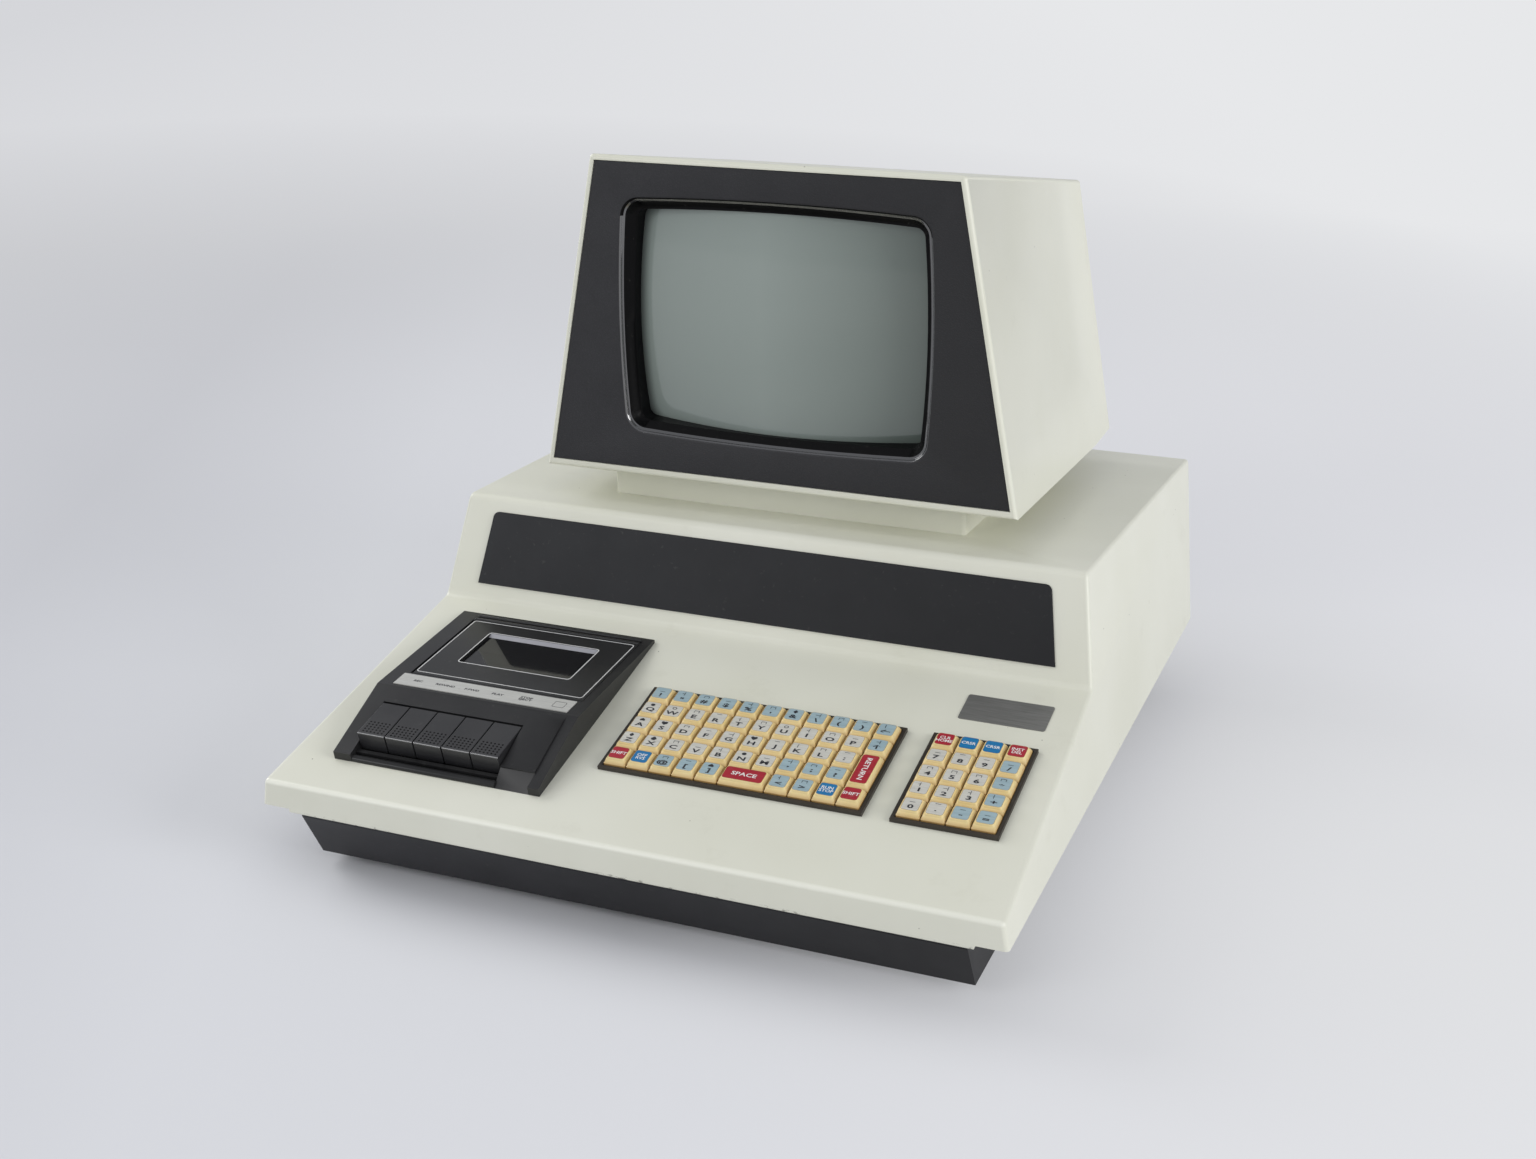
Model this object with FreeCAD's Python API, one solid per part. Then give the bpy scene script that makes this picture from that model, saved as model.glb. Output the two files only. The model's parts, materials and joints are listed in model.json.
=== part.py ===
"""All-in-one home computer of the late 1970s, in millimetres.

A sheet steel base pan carries the main board and the power parts. The painted top
housing is hinged to it along the rear, like the bonnet of a car, and carries the
keyboards, the tape deck and the trapezoid monitor on its pedestal.
X is to the right, Y to the rear and Z up. The origin is under the centre of the
footprint, on the surface that the rubber feet stand on.
"""
import FreeCAD
import Part
import math
import os

V = FreeCAD.Vector

# Housing: the steel top that everything else hangs on
case_width = 419.0
deck_run = 187.5
riser_run = 19.5
top_run = 263.0
rear_run = 41.0
lower_edge_z = 42.0
apron_height = 15.0
deck_rise = 37.0
riser_rise = 60.0
top_drop = 18.0
side_lean_share = 0.164
sheet = 1.6
outer_bend = 3.0
side_bend = 2.5
fold_bend = 5.0
hem_drop = 2.7
hem_corner = 17.0
hem_round = 1.4
rear_flange = 17.0

# Base pan, feet and the rails that the housing rests on
foot_height = 6.8
foot_radius = 11.0
foot_flange = 2.0
foot_inset_x = 28.0
foot_inset_y = 30.0
pan_side_gap = 21.5
pan_front_setback = 19.8
pan_front_lean = 15.2
pan_knee_z = 36.0
pan_rear_gap = 63.0
pan_lip_z = 50.0
pan_rail_width = 17.0
pan_gap = 3.0
rail_front_gap = 6.0
standoff_height = 8.0
standoff_radius = 3.2

# Fits and general clearances
fit_gap = 0.05
seat_gap = 0.3
slip_gap = 0.2
overrun = 6.0

# Hinges of the top housing and the rod that props it open
hinge_angle = 40.0
hinge_inset = 17.0
hinge_length = 28.0
hinge_barrel = 4.0
hinge_pin = 1.5
hinge_setback = 7.0
hinge_drop = 4.5
hinge_leaf = 1.6
hinge_leaf_height = 15.0
prop_setback = 112.7
prop_pivot_z = 28.0
prop_radius = 2.5
prop_eye = 6.0
prop_eye_half = 3.0
prop_stud = 2.5
prop_wall_gap = 5.4
prop_catch_setback = 107.3
prop_catch_width = 16.0

# Name panel and deck label, both bare
panel_start = 9.6
panel_height = 44.4
panel_side_bottom = 30.1
panel_side_top = 37.2
panel_thickness = 1.0
panel_corner = 4.0
label_width = 48.0
label_length = 22.5
label_side_gap = 47.5
label_centre_s = 159.7
label_thickness = 0.4
label_corner = 1.5

# Keyboards
key_pitch_x = 13.12
key_pitch_s = 13.95
key_gap = 0.5
key_columns = 11
key_rows = 5
pad_columns = 4
keyboard_gap = 14.8
keypad_side_gap = 50.25
keyboard_front_s = 56.6
rim_width = 2.2
rim_height = 2.2
well_wall = 1.2
well_depth = 3.0
guide_floor = 2.0
key_travel = 2.2
skirt_low = 0.2
skirt_high = 3.2
shoulder_high = 4.3
key_top = 5.7
key_cap_x = 10.2
key_cap_s = 10.6
cap_shift = 0.5
cap_draft = 0.3
stem_side = 4.6
board_post = 2.5
post_length = 6.0
board_thickness = 1.6

# Tape deck, in deck coordinates: s runs up the deck and h stands off it
tape_side_gap = 31.0
tape_width = 126.0
tape_front_s = 27.0
tape_lip_h = 4.8
tape_crest_s = 78.0
tape_crest_h = 15.5
tape_rear_s = 174.0
tape_rear_h = 2.0
tape_wall = 2.2
tape_collar_depth = 9.5
tape_collar_inset = 2.5
tape_solid_front = 13.0
door_left_gap = 11.2
door_right_gap = 5.5
door_start = 16.5
door_length = 75.5
door_thickness = 3.0
door_gap = 0.4
door_groove = 1.1
door_pin = 1.5
door_pin_inset = 3.0
window_width = 70.6
window_length = 37.6
window_start = 20.9
window_offset = 19.2
window_thickness = 1.4
window_ledge = 1.5
well_drop = 24.0
well_skin = 2.0
strip_width = 109.0
strip_length = 12.5
strip_start = 2.0
strip_thickness = 0.5
strip_edge = 9.0

# Tape keys
tape_key_count = 5
tape_key_pitch = 17.54
tape_key_gap = 0.6
tape_key_back_s = 65.3
tape_key_front_s = 36.5
tape_key_top = 13.1
tape_key_bottom = 1.5
tape_key_skin = 2.2
tape_key_arm = 4.0
tape_axle_s = 73.0
tape_axle_h = 3.5
tape_axle_radius = 2.0
tape_boss = 3.8
tape_ear = 3.0
tape_bay_s = 66.2
tape_bay_front_s = 34.8
bay_ledge = 2.6
bay_ledge_h = 3.2
tape_bay_margin = 0.4
rail_radius = 2.3
rail_h = 0.6
cheek_bevel_s = 36.5
cheek_bevel_x = 6.5
cheek_rise = 0.9
cheek_sink = 0.5
cheek_slope = 6.5
cheek_end = 1.5

# Tape mechanism, in door coordinates: t runs to the rear and m stands off the door
chassis_thickness = 1.5
spindle_spacing = 42.5
spindle_t = 58.0
spindle_disc = 8.0
spindle_disc_height = 3.0
spindle_hub = 4.2
spindle_hub_height = 9.0
spindle_shaft = 2.0
spindle_tail = 5.0
spindle_fins = 3
capstan_offset_x = 15.0
capstan_t = 34.0
capstan_radius = 1.0
capstan_height = 10.0
flywheel_radius = 18.0
flywheel_thickness = 6.0
flywheel_drop = 18.0
capstan_tube = 3.5
motor_radius = 14.0
motor_height = 17.0
motor_offset_x = -38.0
motor_t = 34.0
pulley_radius = 5.0
belt_width = 4.0
belt_thickness = 1.2
belt_gap = 0.15
head_width = 15.0
head_length = 6.0
head_height = 9.0
head_front_t = 19.0
plate_width = 58.0
plate_length = 9.0
plate_thickness = 1.2
head_travel = 4.0
roller_radius = 5.5
roller_height = 7.0
roller_pin = 1.2

# Monitor cabinet
monitor_setback = 224.6
monitor_bottom_z = 171.9
monitor_height = 187.2
monitor_front_lean = 6.1
monitor_width_bottom = 292.2
monitor_width_top = 221.8
monitor_bend_run = 181.2
monitor_bend_drop = 12.9
monitor_heel_run = 40.9
monitor_heel_drop = 0.5
monitor_top_run = 228.2
monitor_top_drop = 43.9
monitor_wall = 2.0
monitor_bend = 2.5
rim_side = 3.2
rim_top = 3.4
rim_bottom = 4.4
rim_depth = 9.0
bezel_recess = 0.8
bezel_thickness = 3.0
back_recess = 1.2
back_thickness = 2.0
vent_count = 15
vent_pitch = 9.0
vent_width = 3.0
vent_height = 46.0
vent_rows = 2
vent_row_gap = 12.0
vent_top_margin = 22.0

# Monitor pedestal
pedestal_half_width = 110.8
pedestal_setback = 244.5
pedestal_depth = 150.0
pedestal_wall = 2.0
pedestal_hole = 60.0

# Screen opening and picture tube, measured from the bezel's centre
screen_centre_z = 267.0
screen_half_width = 94.2
screen_half_height = 69.8
screen_side_bulge = 3.4
screen_top_bulge = 2.8
screen_corner = 11.0
screen_lip = 2.2
lip_steps = 3
hood_step_depth = 9.5
hood_step = 4.0
hood_ledge = 1.2
hood_depth = 26.0
hood_taper = 1.8
hood_drop = 1.2
hood_wall = 2.0
glass_half_width = 97.0
glass_half_height = 74.5
glass_power = 5.0
glass_apex = 8.0
glass_radius = 480.0
glass_skirt = 52.0
glass_wall = 5.0
funnel_length = 88.0
funnel_share = 0.62
funnel_power = 3.0
round_power = 2.0
neck_wall_share = 0.5
neck_radius = 14.0
neck_length = 62.0
loop_points = 40
band_width = 14.0
band_thickness = 1.5
band_depth = 36.0
ear_size = 16.0
ear_inset = 2.7
yoke_radius = 33.0
yoke_length = 34.0
yoke_flange = 4.0
boss_radius = 5.0

# Monitor electronics
mon_board_width = 150.0
mon_board_length = 96.0
mon_board_setback = 70.0
mon_board_lift = 8.0
mon_post_inset = 6.0
flyback_width = 32.0
flyback_length = 30.0
flyback_height = 46.0
flyback_inset = 6.0
flyback_opening_share = 0.25
knob_radius = 9.0
knob_length = 13.0
knob_shaft = 3.0
knob_x = 62.0
knob_rise = 26.0
knob_boss = 6.0
knob_boss_length = 8.0
knob_collar = 4.5
screw_head = 3.6
screw_head_height = 2.0
screw_shank = 1.8
screw_margin = 9.0

# Main board and power parts in the pan
main_board_inset = 24.0
main_board_length = 242.7
board_coil_gap = 20.0
board_rear_gap = 6.0
tongue_reach = 5.0
port_start_shares = (0.1008, 0.4454, 0.7899)
port_width_shares = (0.2605, 0.2605, 0.1261)
port_margin = 3.0
port_low = 4.0
port_high = 13.0
chip_width = 7.0
chip_length = 20.0
chip_height = 4.0
chip_columns = 9
chip_rows = 6
chip_margin_x = 18.0
chip_margin_y = 30.0
chip_skip = 4
big_chip_width = 14.0
big_chip_length = 52.0
big_chip_shares = (0.3, 0.7)
transformer_inset = 56.0
transformer_setback = 88.7
core_width = 76.0
core_length = 44.0
core_height = 62.0
core_foot = 3.0
core_foot_reach = 6.0
core_leg = 23.0
coil_width = 46.0
coil_length = 70.0
coil_margin = 9.0
capacitor_radius = 17.5
capacitor_height = 62.0
capacitor_setback = 162.7
capacitor_rim = 2.0
power_z = 23.0
switch_inset = 49.0
switch_width = 22.0
switch_height = 14.0
switch_frame = 3.0
switch_frame_depth = 2.0
switch_body_depth = 20.0
rocker_width = 14.0
rocker_height = 9.0
rocker_pin = 1.5
rocker_angle = 12.0
gland_spacing = 31.0
gland_radius = 8.0
gland_bore = 4.0
gland_flange = 10.0
gland_nose = 7.0
fuse_spacing = 22.0
fuse_radius = 6.0
fuse_flange = 8.0
fuse_cap = 9.0
fuse_body = 24.0


# Places worked out from the sizes above
def rear_corner_trim():
    """How far the rounded rear corner falls short of the sharp one."""
    top = math.atan2(top_drop, top_run)
    rear_height = apron_height + deck_rise + riser_rise - top_drop
    rear = math.atan2(rear_run, rear_height)
    turned = math.sin(top) * math.sin(rear) + math.cos(top) * math.cos(rear)
    return outer_bend * (math.cos(top) + math.sin(rear)) / turned - outer_bend


case_depth = deck_run + riser_run + top_run
front_y = -(case_depth - rear_corner_trim()) / 2
rear_y = front_y + case_depth
apron_top_z = lower_edge_z + apron_height
crease_y = front_y + deck_run
crease_z = apron_top_z + deck_rise
riser_y = crease_y + riser_run
riser_z = crease_z + riser_rise
rear_top_z = riser_z - top_drop
rear_low_y = rear_y - rear_run
top_slope = top_drop / top_run
deck_tilt = math.degrees(math.atan2(deck_rise, deck_run))
riser_tilt = math.degrees(math.atan2(riser_rise, riser_run))
tape_tilt = math.degrees(math.atan2(tape_crest_h - tape_rear_h, tape_rear_s - tape_crest_s))
pan_front_y = front_y + pan_front_setback
pan_knee_y = pan_front_y - pan_front_lean
pan_rear_y = rear_y - pan_rear_gap
pan_floor_z = foot_height + sheet
hinge_y = rear_low_y - hinge_setback
hinge_z = lower_edge_z - hinge_drop
pan_half_width = case_width / 2 - pan_side_gap
hinge_centre_x = pan_half_width - hinge_inset
prop_pivot_y = pan_rear_y - prop_setback
prop_catch_y = front_y + prop_catch_setback
panel_half_bottom = case_width / 2 - panel_side_bottom
panel_half_top = case_width / 2 - panel_side_top
label_centre_x = case_width / 2 - label_side_gap
keypad_centre_x = case_width / 2 - keypad_side_gap
keys_half_width = (key_columns + pad_columns) * key_pitch_x / 2 + 2 * rim_width
keyboard_centre_x = keypad_centre_x - keys_half_width - keyboard_gap
tape_left_x = tape_side_gap - case_width / 2
tape_right_x = tape_left_x + tape_width
door_left_x = tape_left_x + door_left_gap
door_right_x = tape_right_x - door_right_gap
tape_centre_x = (door_left_x + door_right_x) / 2
key_bay_left = door_left_x - tape_bay_margin
key_bay_right = key_bay_left + tape_key_count * tape_key_pitch + tape_bay_margin
monitor_y = front_y + monitor_setback
monitor_top_y = monitor_y + monitor_front_lean
monitor_top_z = monitor_bottom_z + monitor_height
monitor_lean = math.degrees(math.atan2(monitor_front_lean, monitor_height))
screen_y = monitor_y + (screen_centre_z - monitor_bottom_z) * monitor_front_lean / monitor_height
board_z = pan_floor_z + standoff_height
board_rear_y = pan_rear_y - sheet - board_rear_gap
transformer_x = pan_half_width - transformer_inset
transformer_y = pan_rear_y - transformer_setback
capacitor_x = transformer_x
capacitor_y = pan_rear_y - capacitor_setback
main_board_left = main_board_inset - pan_half_width
main_board_right = transformer_x - core_width / 2 - board_coil_gap
main_board_width = main_board_right - main_board_left
main_board_front = pan_rear_y - main_board_length
switch_x = pan_half_width - switch_inset
gland_x = switch_x - gland_spacing
fuse_x = gland_x - fuse_spacing
board_h = -well_depth - guide_floor - post_length


# Basic shapes
def block(x0, x1, y0, y1, z0, z1):
    return Part.makeBox(x1 - x0, y1 - y0, z1 - z0, V(x0, y0, z0))


def cylinder(radius, start, end):
    along = end.sub(start)
    return Part.makeCylinder(radius, along.Length, start, along)


def prism(points, x0, x1):
    """Extrude an outline of (y, z) points along X."""
    corners = [V(x0, y, z) for y, z in points]
    face = Part.Face(Part.makePolygon(corners + corners[:1]))
    return face.extrude(V(x1 - x0, 0, 0))


def polygon_face(corners):
    return Part.Face(Part.makePolygon(corners + corners[:1]))


def beyond_side(half_width, reach):
    """Large block outside the right side plane of a leaning cabinet."""
    middle = half_width(0, 0)
    outward = V(1, middle - half_width(1, 0), middle - half_width(0, 1))
    side = Part.makeBox(2 * reach, 2 * reach, 2 * reach, V(0, -reach, -reach))
    side.Placement = FreeCAD.Placement(V(middle, 0, 0), FreeCAD.Rotation(V(1, 0, 0), outward))
    return side


def leaning_solid(profile, half_width):
    """Solid of an outline of (y, z) points between two mirrored leaning sides."""
    widest = max(half_width(y, z) for y, z in profile) + overrun
    reach = 2 * max(case_width, case_depth, monitor_top_z)
    right = beyond_side(half_width, reach)
    left = right.mirror(V(0, 0, 0), V(1, 0, 0))
    return prism(profile, -widest, widest).cut(right).cut(left)


def inset(profile, walls):
    """Move each side of a clockwise outline inwards by its own wall."""
    count = len(profile)
    lines = []
    for i in range(count):
        (ay, az), (by, bz) = profile[i], profile[(i + 1) % count]
        length = math.hypot(by - ay, bz - az)
        ny, nz = (bz - az) / length, -(by - ay) / length
        lines.append((ny, nz, ny * ay + nz * az + walls[i]))
    points = []
    for i in range(count):
        a, b = lines[i - 1], lines[i]
        det = a[0] * b[1] - a[1] * b[0]
        points.append(((a[2] * b[1] - a[1] * b[2]) / det, (a[0] * b[2] - a[2] * b[0]) / det))
    return points


def round_edges(shape, radius, wanted):
    """Fillet the straight edges whose middle and direction pass the test."""
    chosen = []
    for edge in shape.Edges:
        middle = edge.CenterOfMass
        along = edge.Vertexes[-1].Point.sub(edge.Vertexes[0].Point)
        if along.Length > seat_gap and wanted(middle, along.normalize()):
            chosen.append(edge)
    return shape.makeFillet(radius, chosen)


def placed(shape, y, z, tilt):
    """Turn a shape about X by tilt degrees and carry its origin to (y, z)."""
    moved = shape.copy()
    turn = FreeCAD.Placement(V(0, y, z), FreeCAD.Rotation(V(1, 0, 0), tilt))
    moved.Placement = turn.multiply(moved.Placement)
    return moved


def on_deck(shape):
    return placed(shape, front_y, apron_top_z, deck_tilt)


def on_tape(shape):
    return on_deck(placed(shape, tape_crest_s, tape_crest_h, -tape_tilt))


def on_screen(shape):
    return placed(shape, screen_y, screen_centre_z, -monitor_lean)


def group(shapes):
    return Part.makeCompound(shapes)


def near(value, target, room=seat_gap):
    return abs(value - target) < room


# Top housing
def case_profile():
    return [(front_y, lower_edge_z), (front_y, apron_top_z), (crease_y, crease_z),
            (riser_y, riser_z), (rear_y, rear_top_z), (rear_low_y, lower_edge_z)]


def case_half_width(y, z):
    return case_width / 2 - side_lean_share * (z - lower_edge_z)


def case_inner_half_width(y, z):
    return case_half_width(y, z) - sheet * math.hypot(1, side_lean_share)


def surround_span(centre_x, columns):
    half = columns * key_pitch_x / 2 + rim_width
    return centre_x - half, centre_x + half


def keyboard_rear_s():
    return keyboard_front_s + key_rows * key_pitch_s + 2 * rim_width


def surround_cutout(centre_x, columns):
    x0, x1 = surround_span(centre_x, columns)
    edge = rim_width - well_wall - slip_gap - slip_gap
    return block(x0 + edge, x1 - edge, keyboard_front_s + edge, keyboard_rear_s() - edge,
                 -overrun, overrun)


def tape_collar(gap):
    inset_s = tape_collar_inset - gap
    return block(tape_left_x + inset_s, tape_right_x - inset_s, tape_front_s + inset_s,
                 tape_rear_s - inset_s, -tape_collar_depth, 0)


def prop_catch_z():
    return pan_lip_z + sheet


def top_housing():
    profile = case_profile()
    shell = leaning_solid(profile, case_half_width)
    folds = [(crease_y, crease_z), (riser_y, riser_z)]
    edges = [(front_y, apron_top_z), (rear_y, rear_top_z)]

    def across_at(places):
        def test(middle, along):
            level = near(abs(along.x), 1)
            return level and any(near(middle.y, y) and near(middle.z, z) for y, z in places)
        return test

    def along_side(middle, along):
        outer = near(abs(middle.x), case_half_width(middle.y, middle.z))
        return outer and abs(along.x) < side_lean_share and middle.z > apron_top_z
    shell = round_edges(shell, fold_bend, across_at(folds))
    shell = round_edges(shell, outer_bend, across_at(edges))
    shell = round_edges(shell, side_bend, along_side)
    cavity = leaning_solid(inset(profile, [sheet] * len(profile)), case_inner_half_width)
    shell = shell.cut(cavity)
    half_open = pan_half_width + pan_gap
    shell = shell.cut(block(-half_open, half_open, front_y + 2 * sheet, rear_low_y - rear_flange,
                            lower_edge_z - overrun, lower_edge_z + sheet + overrun))
    half_hem = case_width / 2 - hem_corner
    hem = block(-half_hem, half_hem, front_y, front_y + 2 * sheet,
                lower_edge_z - hem_drop, lower_edge_z + sheet)
    hem = round_edges(hem, hem_round, lambda middle, along: near(middle.z, lower_edge_z - hem_drop))
    shell = shell.fuse(hem)
    catch_x = pan_half_width - sheet - prop_wall_gap - prop_radius
    wall_x = case_half_width(0, prop_catch_z()) - sheet / 2
    catch = block(-wall_x, -catch_x, prop_catch_y - prop_catch_width / 2,
                  prop_catch_y + prop_catch_width / 2, prop_catch_z(), prop_catch_z() + sheet)
    shell = shell.fuse(catch)
    for tool in (surround_cutout(keyboard_centre_x, key_columns),
                 surround_cutout(keypad_centre_x, pad_columns)):
        shell = shell.cut(on_deck(tool))
    opening = tape_collar(slip_gap)
    opening = opening.fuse(opening.translated(V(0, 0, tape_collar_depth)))
    shell = shell.cut(on_deck(opening))
    hole_y = front_y + pedestal_setback + pedestal_depth / 2
    hole = cylinder(pedestal_hole / 2, V(0, hole_y, crease_z), V(0, hole_y, monitor_bottom_z))
    return shell.cut(hole).removeSplitter()


def name_panel():
    """Bare black panel that lies on the riser."""
    corners = [V(-panel_half_bottom, panel_start, 0), V(panel_half_bottom, panel_start, 0),
               V(panel_half_top, panel_start + panel_height, 0),
               V(-panel_half_top, panel_start + panel_height, 0)]
    plate = polygon_face(corners).extrude(V(0, 0, panel_thickness))
    high = panel_start + panel_height
    plate = round_edges(plate, panel_corner,
                        lambda middle, along: near(middle.y, high) and near(abs(along.z), 1))
    return placed(plate, crease_y, crease_z, riser_tilt)


def deck_label():
    plate = block(label_centre_x - label_width / 2, label_centre_x + label_width / 2,
                  label_centre_s - label_length / 2, label_centre_s + label_length / 2,
                  0, label_thickness)
    plate = round_edges(plate, label_corner, lambda middle, along: near(abs(along.z), 1))
    return on_deck(plate)


# Hinges and prop rod
def knuckle(x0, x1):
    return cylinder(hinge_barrel, V(x0, hinge_y, hinge_z), V(x1, hinge_y, hinge_z))


def pin_hole(x0, x1):
    return cylinder(hinge_pin + fit_gap, V(x0 - overrun, hinge_y, hinge_z),
                    V(x1 + overrun, hinge_y, hinge_z))


def hinge_thirds(side):
    low = side * hinge_centre_x - hinge_length / 2
    third = hinge_length / 3
    return low, low + third, low + 2 * third, low + hinge_length


def base_hinges():
    """Middle knuckles with their leaves on the pan, and the two pins."""
    solids = []
    for side in (-1, 1):
        a, b, c, d = hinge_thirds(side)
        arm = block(b + slip_gap, c - slip_gap, pan_rear_y, hinge_y,
                    hinge_z - hinge_leaf / 2, hinge_z + hinge_leaf / 2)
        leaf = block(a, d, pan_rear_y, pan_rear_y + hinge_leaf,
                     hinge_z + hinge_leaf / 2 - hinge_leaf_height, hinge_z + hinge_leaf / 2)
        solids.append(arm.fuse(leaf).fuse(knuckle(b + slip_gap, c - slip_gap))
                      .cut(pin_hole(a, d)).removeSplitter())
        solids.append(cylinder(hinge_pin, V(a, hinge_y, hinge_z), V(d, hinge_y, hinge_z)))
    return group(solids)


def housing_hinges():
    """Outer knuckles with the leaves under the housing's rear flange."""
    solids = []
    for side in (-1, 1):
        a, b, c, d = hinge_thirds(side)
        leaf = block(a, d, hinge_y - hinge_barrel, hinge_y + hinge_barrel,
                     lower_edge_z - hinge_leaf, lower_edge_z)
        leaf = leaf.cut(block(b, c, hinge_y - 2 * hinge_barrel, hinge_y + 2 * hinge_barrel,
                              hinge_z, lower_edge_z - hinge_leaf / 2))
        for x0, x1 in ((a, b), (c, d)):
            web = block(x0, x1, hinge_y - hinge_leaf, hinge_y + hinge_leaf,
                        hinge_z, lower_edge_z - hinge_leaf / 2)
            leaf = leaf.fuse(knuckle(x0, x1)).fuse(web)
        clear = cylinder(hinge_barrel + seat_gap, V(b, hinge_y, hinge_z), V(c, hinge_y, hinge_z))
        solids.append(leaf.cut(clear).cut(pin_hole(a, d)).removeSplitter())
    return group(solids)


def prop_reach():
    """Length and lift of the rod whose tip meets the housing's catch when it is open."""
    angle = math.radians(hinge_angle)
    along = prop_catch_y - hinge_y
    up = prop_catch_z() - prop_radius - seat_gap - hinge_z
    tip_y = hinge_y + along * math.cos(angle) + up * math.sin(angle)
    tip_z = hinge_z + up * math.cos(angle) - along * math.sin(angle)
    length = math.hypot(tip_y - prop_pivot_y, tip_z - prop_pivot_z)
    lift = math.degrees(math.atan2(tip_z - prop_pivot_z, prop_pivot_y - tip_y))
    return length, lift


def prop_rod():
    length, lift = prop_reach()
    x = -pan_half_width + sheet + prop_wall_gap
    pivot = V(x, prop_pivot_y, prop_pivot_z)
    tip = V(x, prop_pivot_y - length, prop_pivot_z)
    shape = cylinder(prop_radius, pivot, tip)
    eye = cylinder(prop_eye, V(x - prop_eye_half, prop_pivot_y, prop_pivot_z),
                   V(x + prop_eye_half, prop_pivot_y, prop_pivot_z))
    bore = cylinder(prop_stud + fit_gap, V(x - overrun, prop_pivot_y, prop_pivot_z),
                    V(x + overrun, prop_pivot_y, prop_pivot_z))
    return shape.fuse(eye).cut(bore).removeSplitter()


# Base pan and its feet
def pan_profile():
    return [(pan_front_y, foot_height), (pan_knee_y, pan_knee_z), (pan_knee_y, pan_lip_z),
            (pan_rear_y, pan_lip_z), (pan_rear_y, foot_height)]


def standoff_places():
    inset_x = 2 * standoff_radius
    places = []
    for x in (main_board_left + inset_x, (main_board_left + main_board_right) / 2,
              main_board_right - inset_x):
        for y in (main_board_front + inset_x, board_rear_y - inset_x):
            places.append((x, y))
    return places


def ports():
    """Left side and width of each card edge."""
    return [(main_board_left + start * main_board_width, width * main_board_width)
            for start, width in zip(port_start_shares, port_width_shares)]


def base_pan():
    profile = pan_profile()
    outer = prism(profile, -pan_half_width, pan_half_width)
    walls = [sheet, sheet, -overrun, sheet, sheet]
    inner_half = pan_half_width - sheet
    pan = outer.cut(prism(inset(profile, walls), -inner_half, inner_half))
    rail_front = pan_knee_y + rail_front_gap
    for side in (-1, 1):
        x0, x1 = sorted((side * (pan_half_width - sheet / 2),
                         side * (pan_half_width + pan_rail_width)))
        pan = pan.fuse(block(x0, x1, rail_front, pan_rear_y, lower_edge_z - sheet, lower_edge_z))
    for x, y in standoff_places():
        pan = pan.fuse(cylinder(standoff_radius, V(x, y, pan_floor_z - sheet / 2),
                                V(x, y, board_z)))
    for left, width in ports():
        pan = pan.cut(block(left - port_margin, left + width + port_margin,
                            pan_rear_y - sheet - overrun / 2, pan_rear_y + overrun,
                            board_z - port_low, board_z + board_thickness + port_high))
    half_w = switch_width / 2
    half_h = switch_height / 2
    pan = pan.cut(block(switch_x - half_w, switch_x + half_w, pan_rear_y - overrun,
                        pan_rear_y + overrun, power_z - half_h, power_z + half_h))
    for x, radius in ((gland_x, gland_radius), (fuse_x, fuse_radius)):
        pan = pan.cut(cylinder(radius, V(x, pan_rear_y - overrun, power_z),
                               V(x, pan_rear_y + overrun, power_z)))
    stud_end = -pan_half_width + sheet + prop_wall_gap + prop_eye_half
    stud = cylinder(prop_stud, V(-pan_half_width + sheet / 2, prop_pivot_y, prop_pivot_z),
                    V(stud_end, prop_pivot_y, prop_pivot_z))
    collar_end = -pan_half_width + sheet + prop_wall_gap - prop_eye_half - seat_gap
    collar = cylinder(prop_eye, V(-pan_half_width + sheet / 2, prop_pivot_y, prop_pivot_z),
                      V(collar_end, prop_pivot_y, prop_pivot_z))
    return pan.fuse(stud).fuse(collar).removeSplitter()


def rubber_feet():
    solids = []
    x = pan_half_width - foot_inset_x
    for foot_x in (-x, x):
        for foot_y in (pan_front_y + foot_inset_y, pan_rear_y - foot_inset_y):
            foot = Part.makeCone(foot_radius - foot_flange, foot_radius, foot_height,
                                 V(foot_x, foot_y, 0), V(0, 0, 1))
            solids.append(foot)
    return group(solids)


# Main board and power parts
def main_board():
    board = block(main_board_left, main_board_right, main_board_front, board_rear_y,
                  board_z, board_z + board_thickness)
    for left, width in ports():
        board = board.fuse(block(left, left + width, board_rear_y - overrun,
                                 pan_rear_y + tongue_reach,
                                 board_z, board_z + board_thickness))
    return board.removeSplitter()


def logic_chips():
    """Rows of small packages and two large ones on the main board."""
    solids = []
    low = board_z + board_thickness
    board_length = board_rear_y - main_board_front
    step_x = (main_board_width - 2 * chip_margin_x - chip_width) / (chip_columns - 1)
    step_y = (board_length - 2 * chip_margin_y - chip_length) / (chip_rows - 1)
    for row in range(chip_rows):
        y = main_board_front + chip_margin_y + row * step_y
        for column in range(chip_columns):
            x = main_board_left + chip_margin_x + column * step_x
            if row == chip_rows - 1 and column % chip_skip == 1:
                continue
            solids.append(block(x, x + chip_width, y, y + chip_length, low, low + chip_height))
    for share in big_chip_shares:
        x = main_board_left + share * main_board_width
        y = main_board_front + (chip_margin_y - big_chip_width) / 2
        solids.append(block(x - big_chip_length / 2, x + big_chip_length / 2, y,
                            y + big_chip_width, low, low + chip_height))
    return group(solids)


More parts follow.
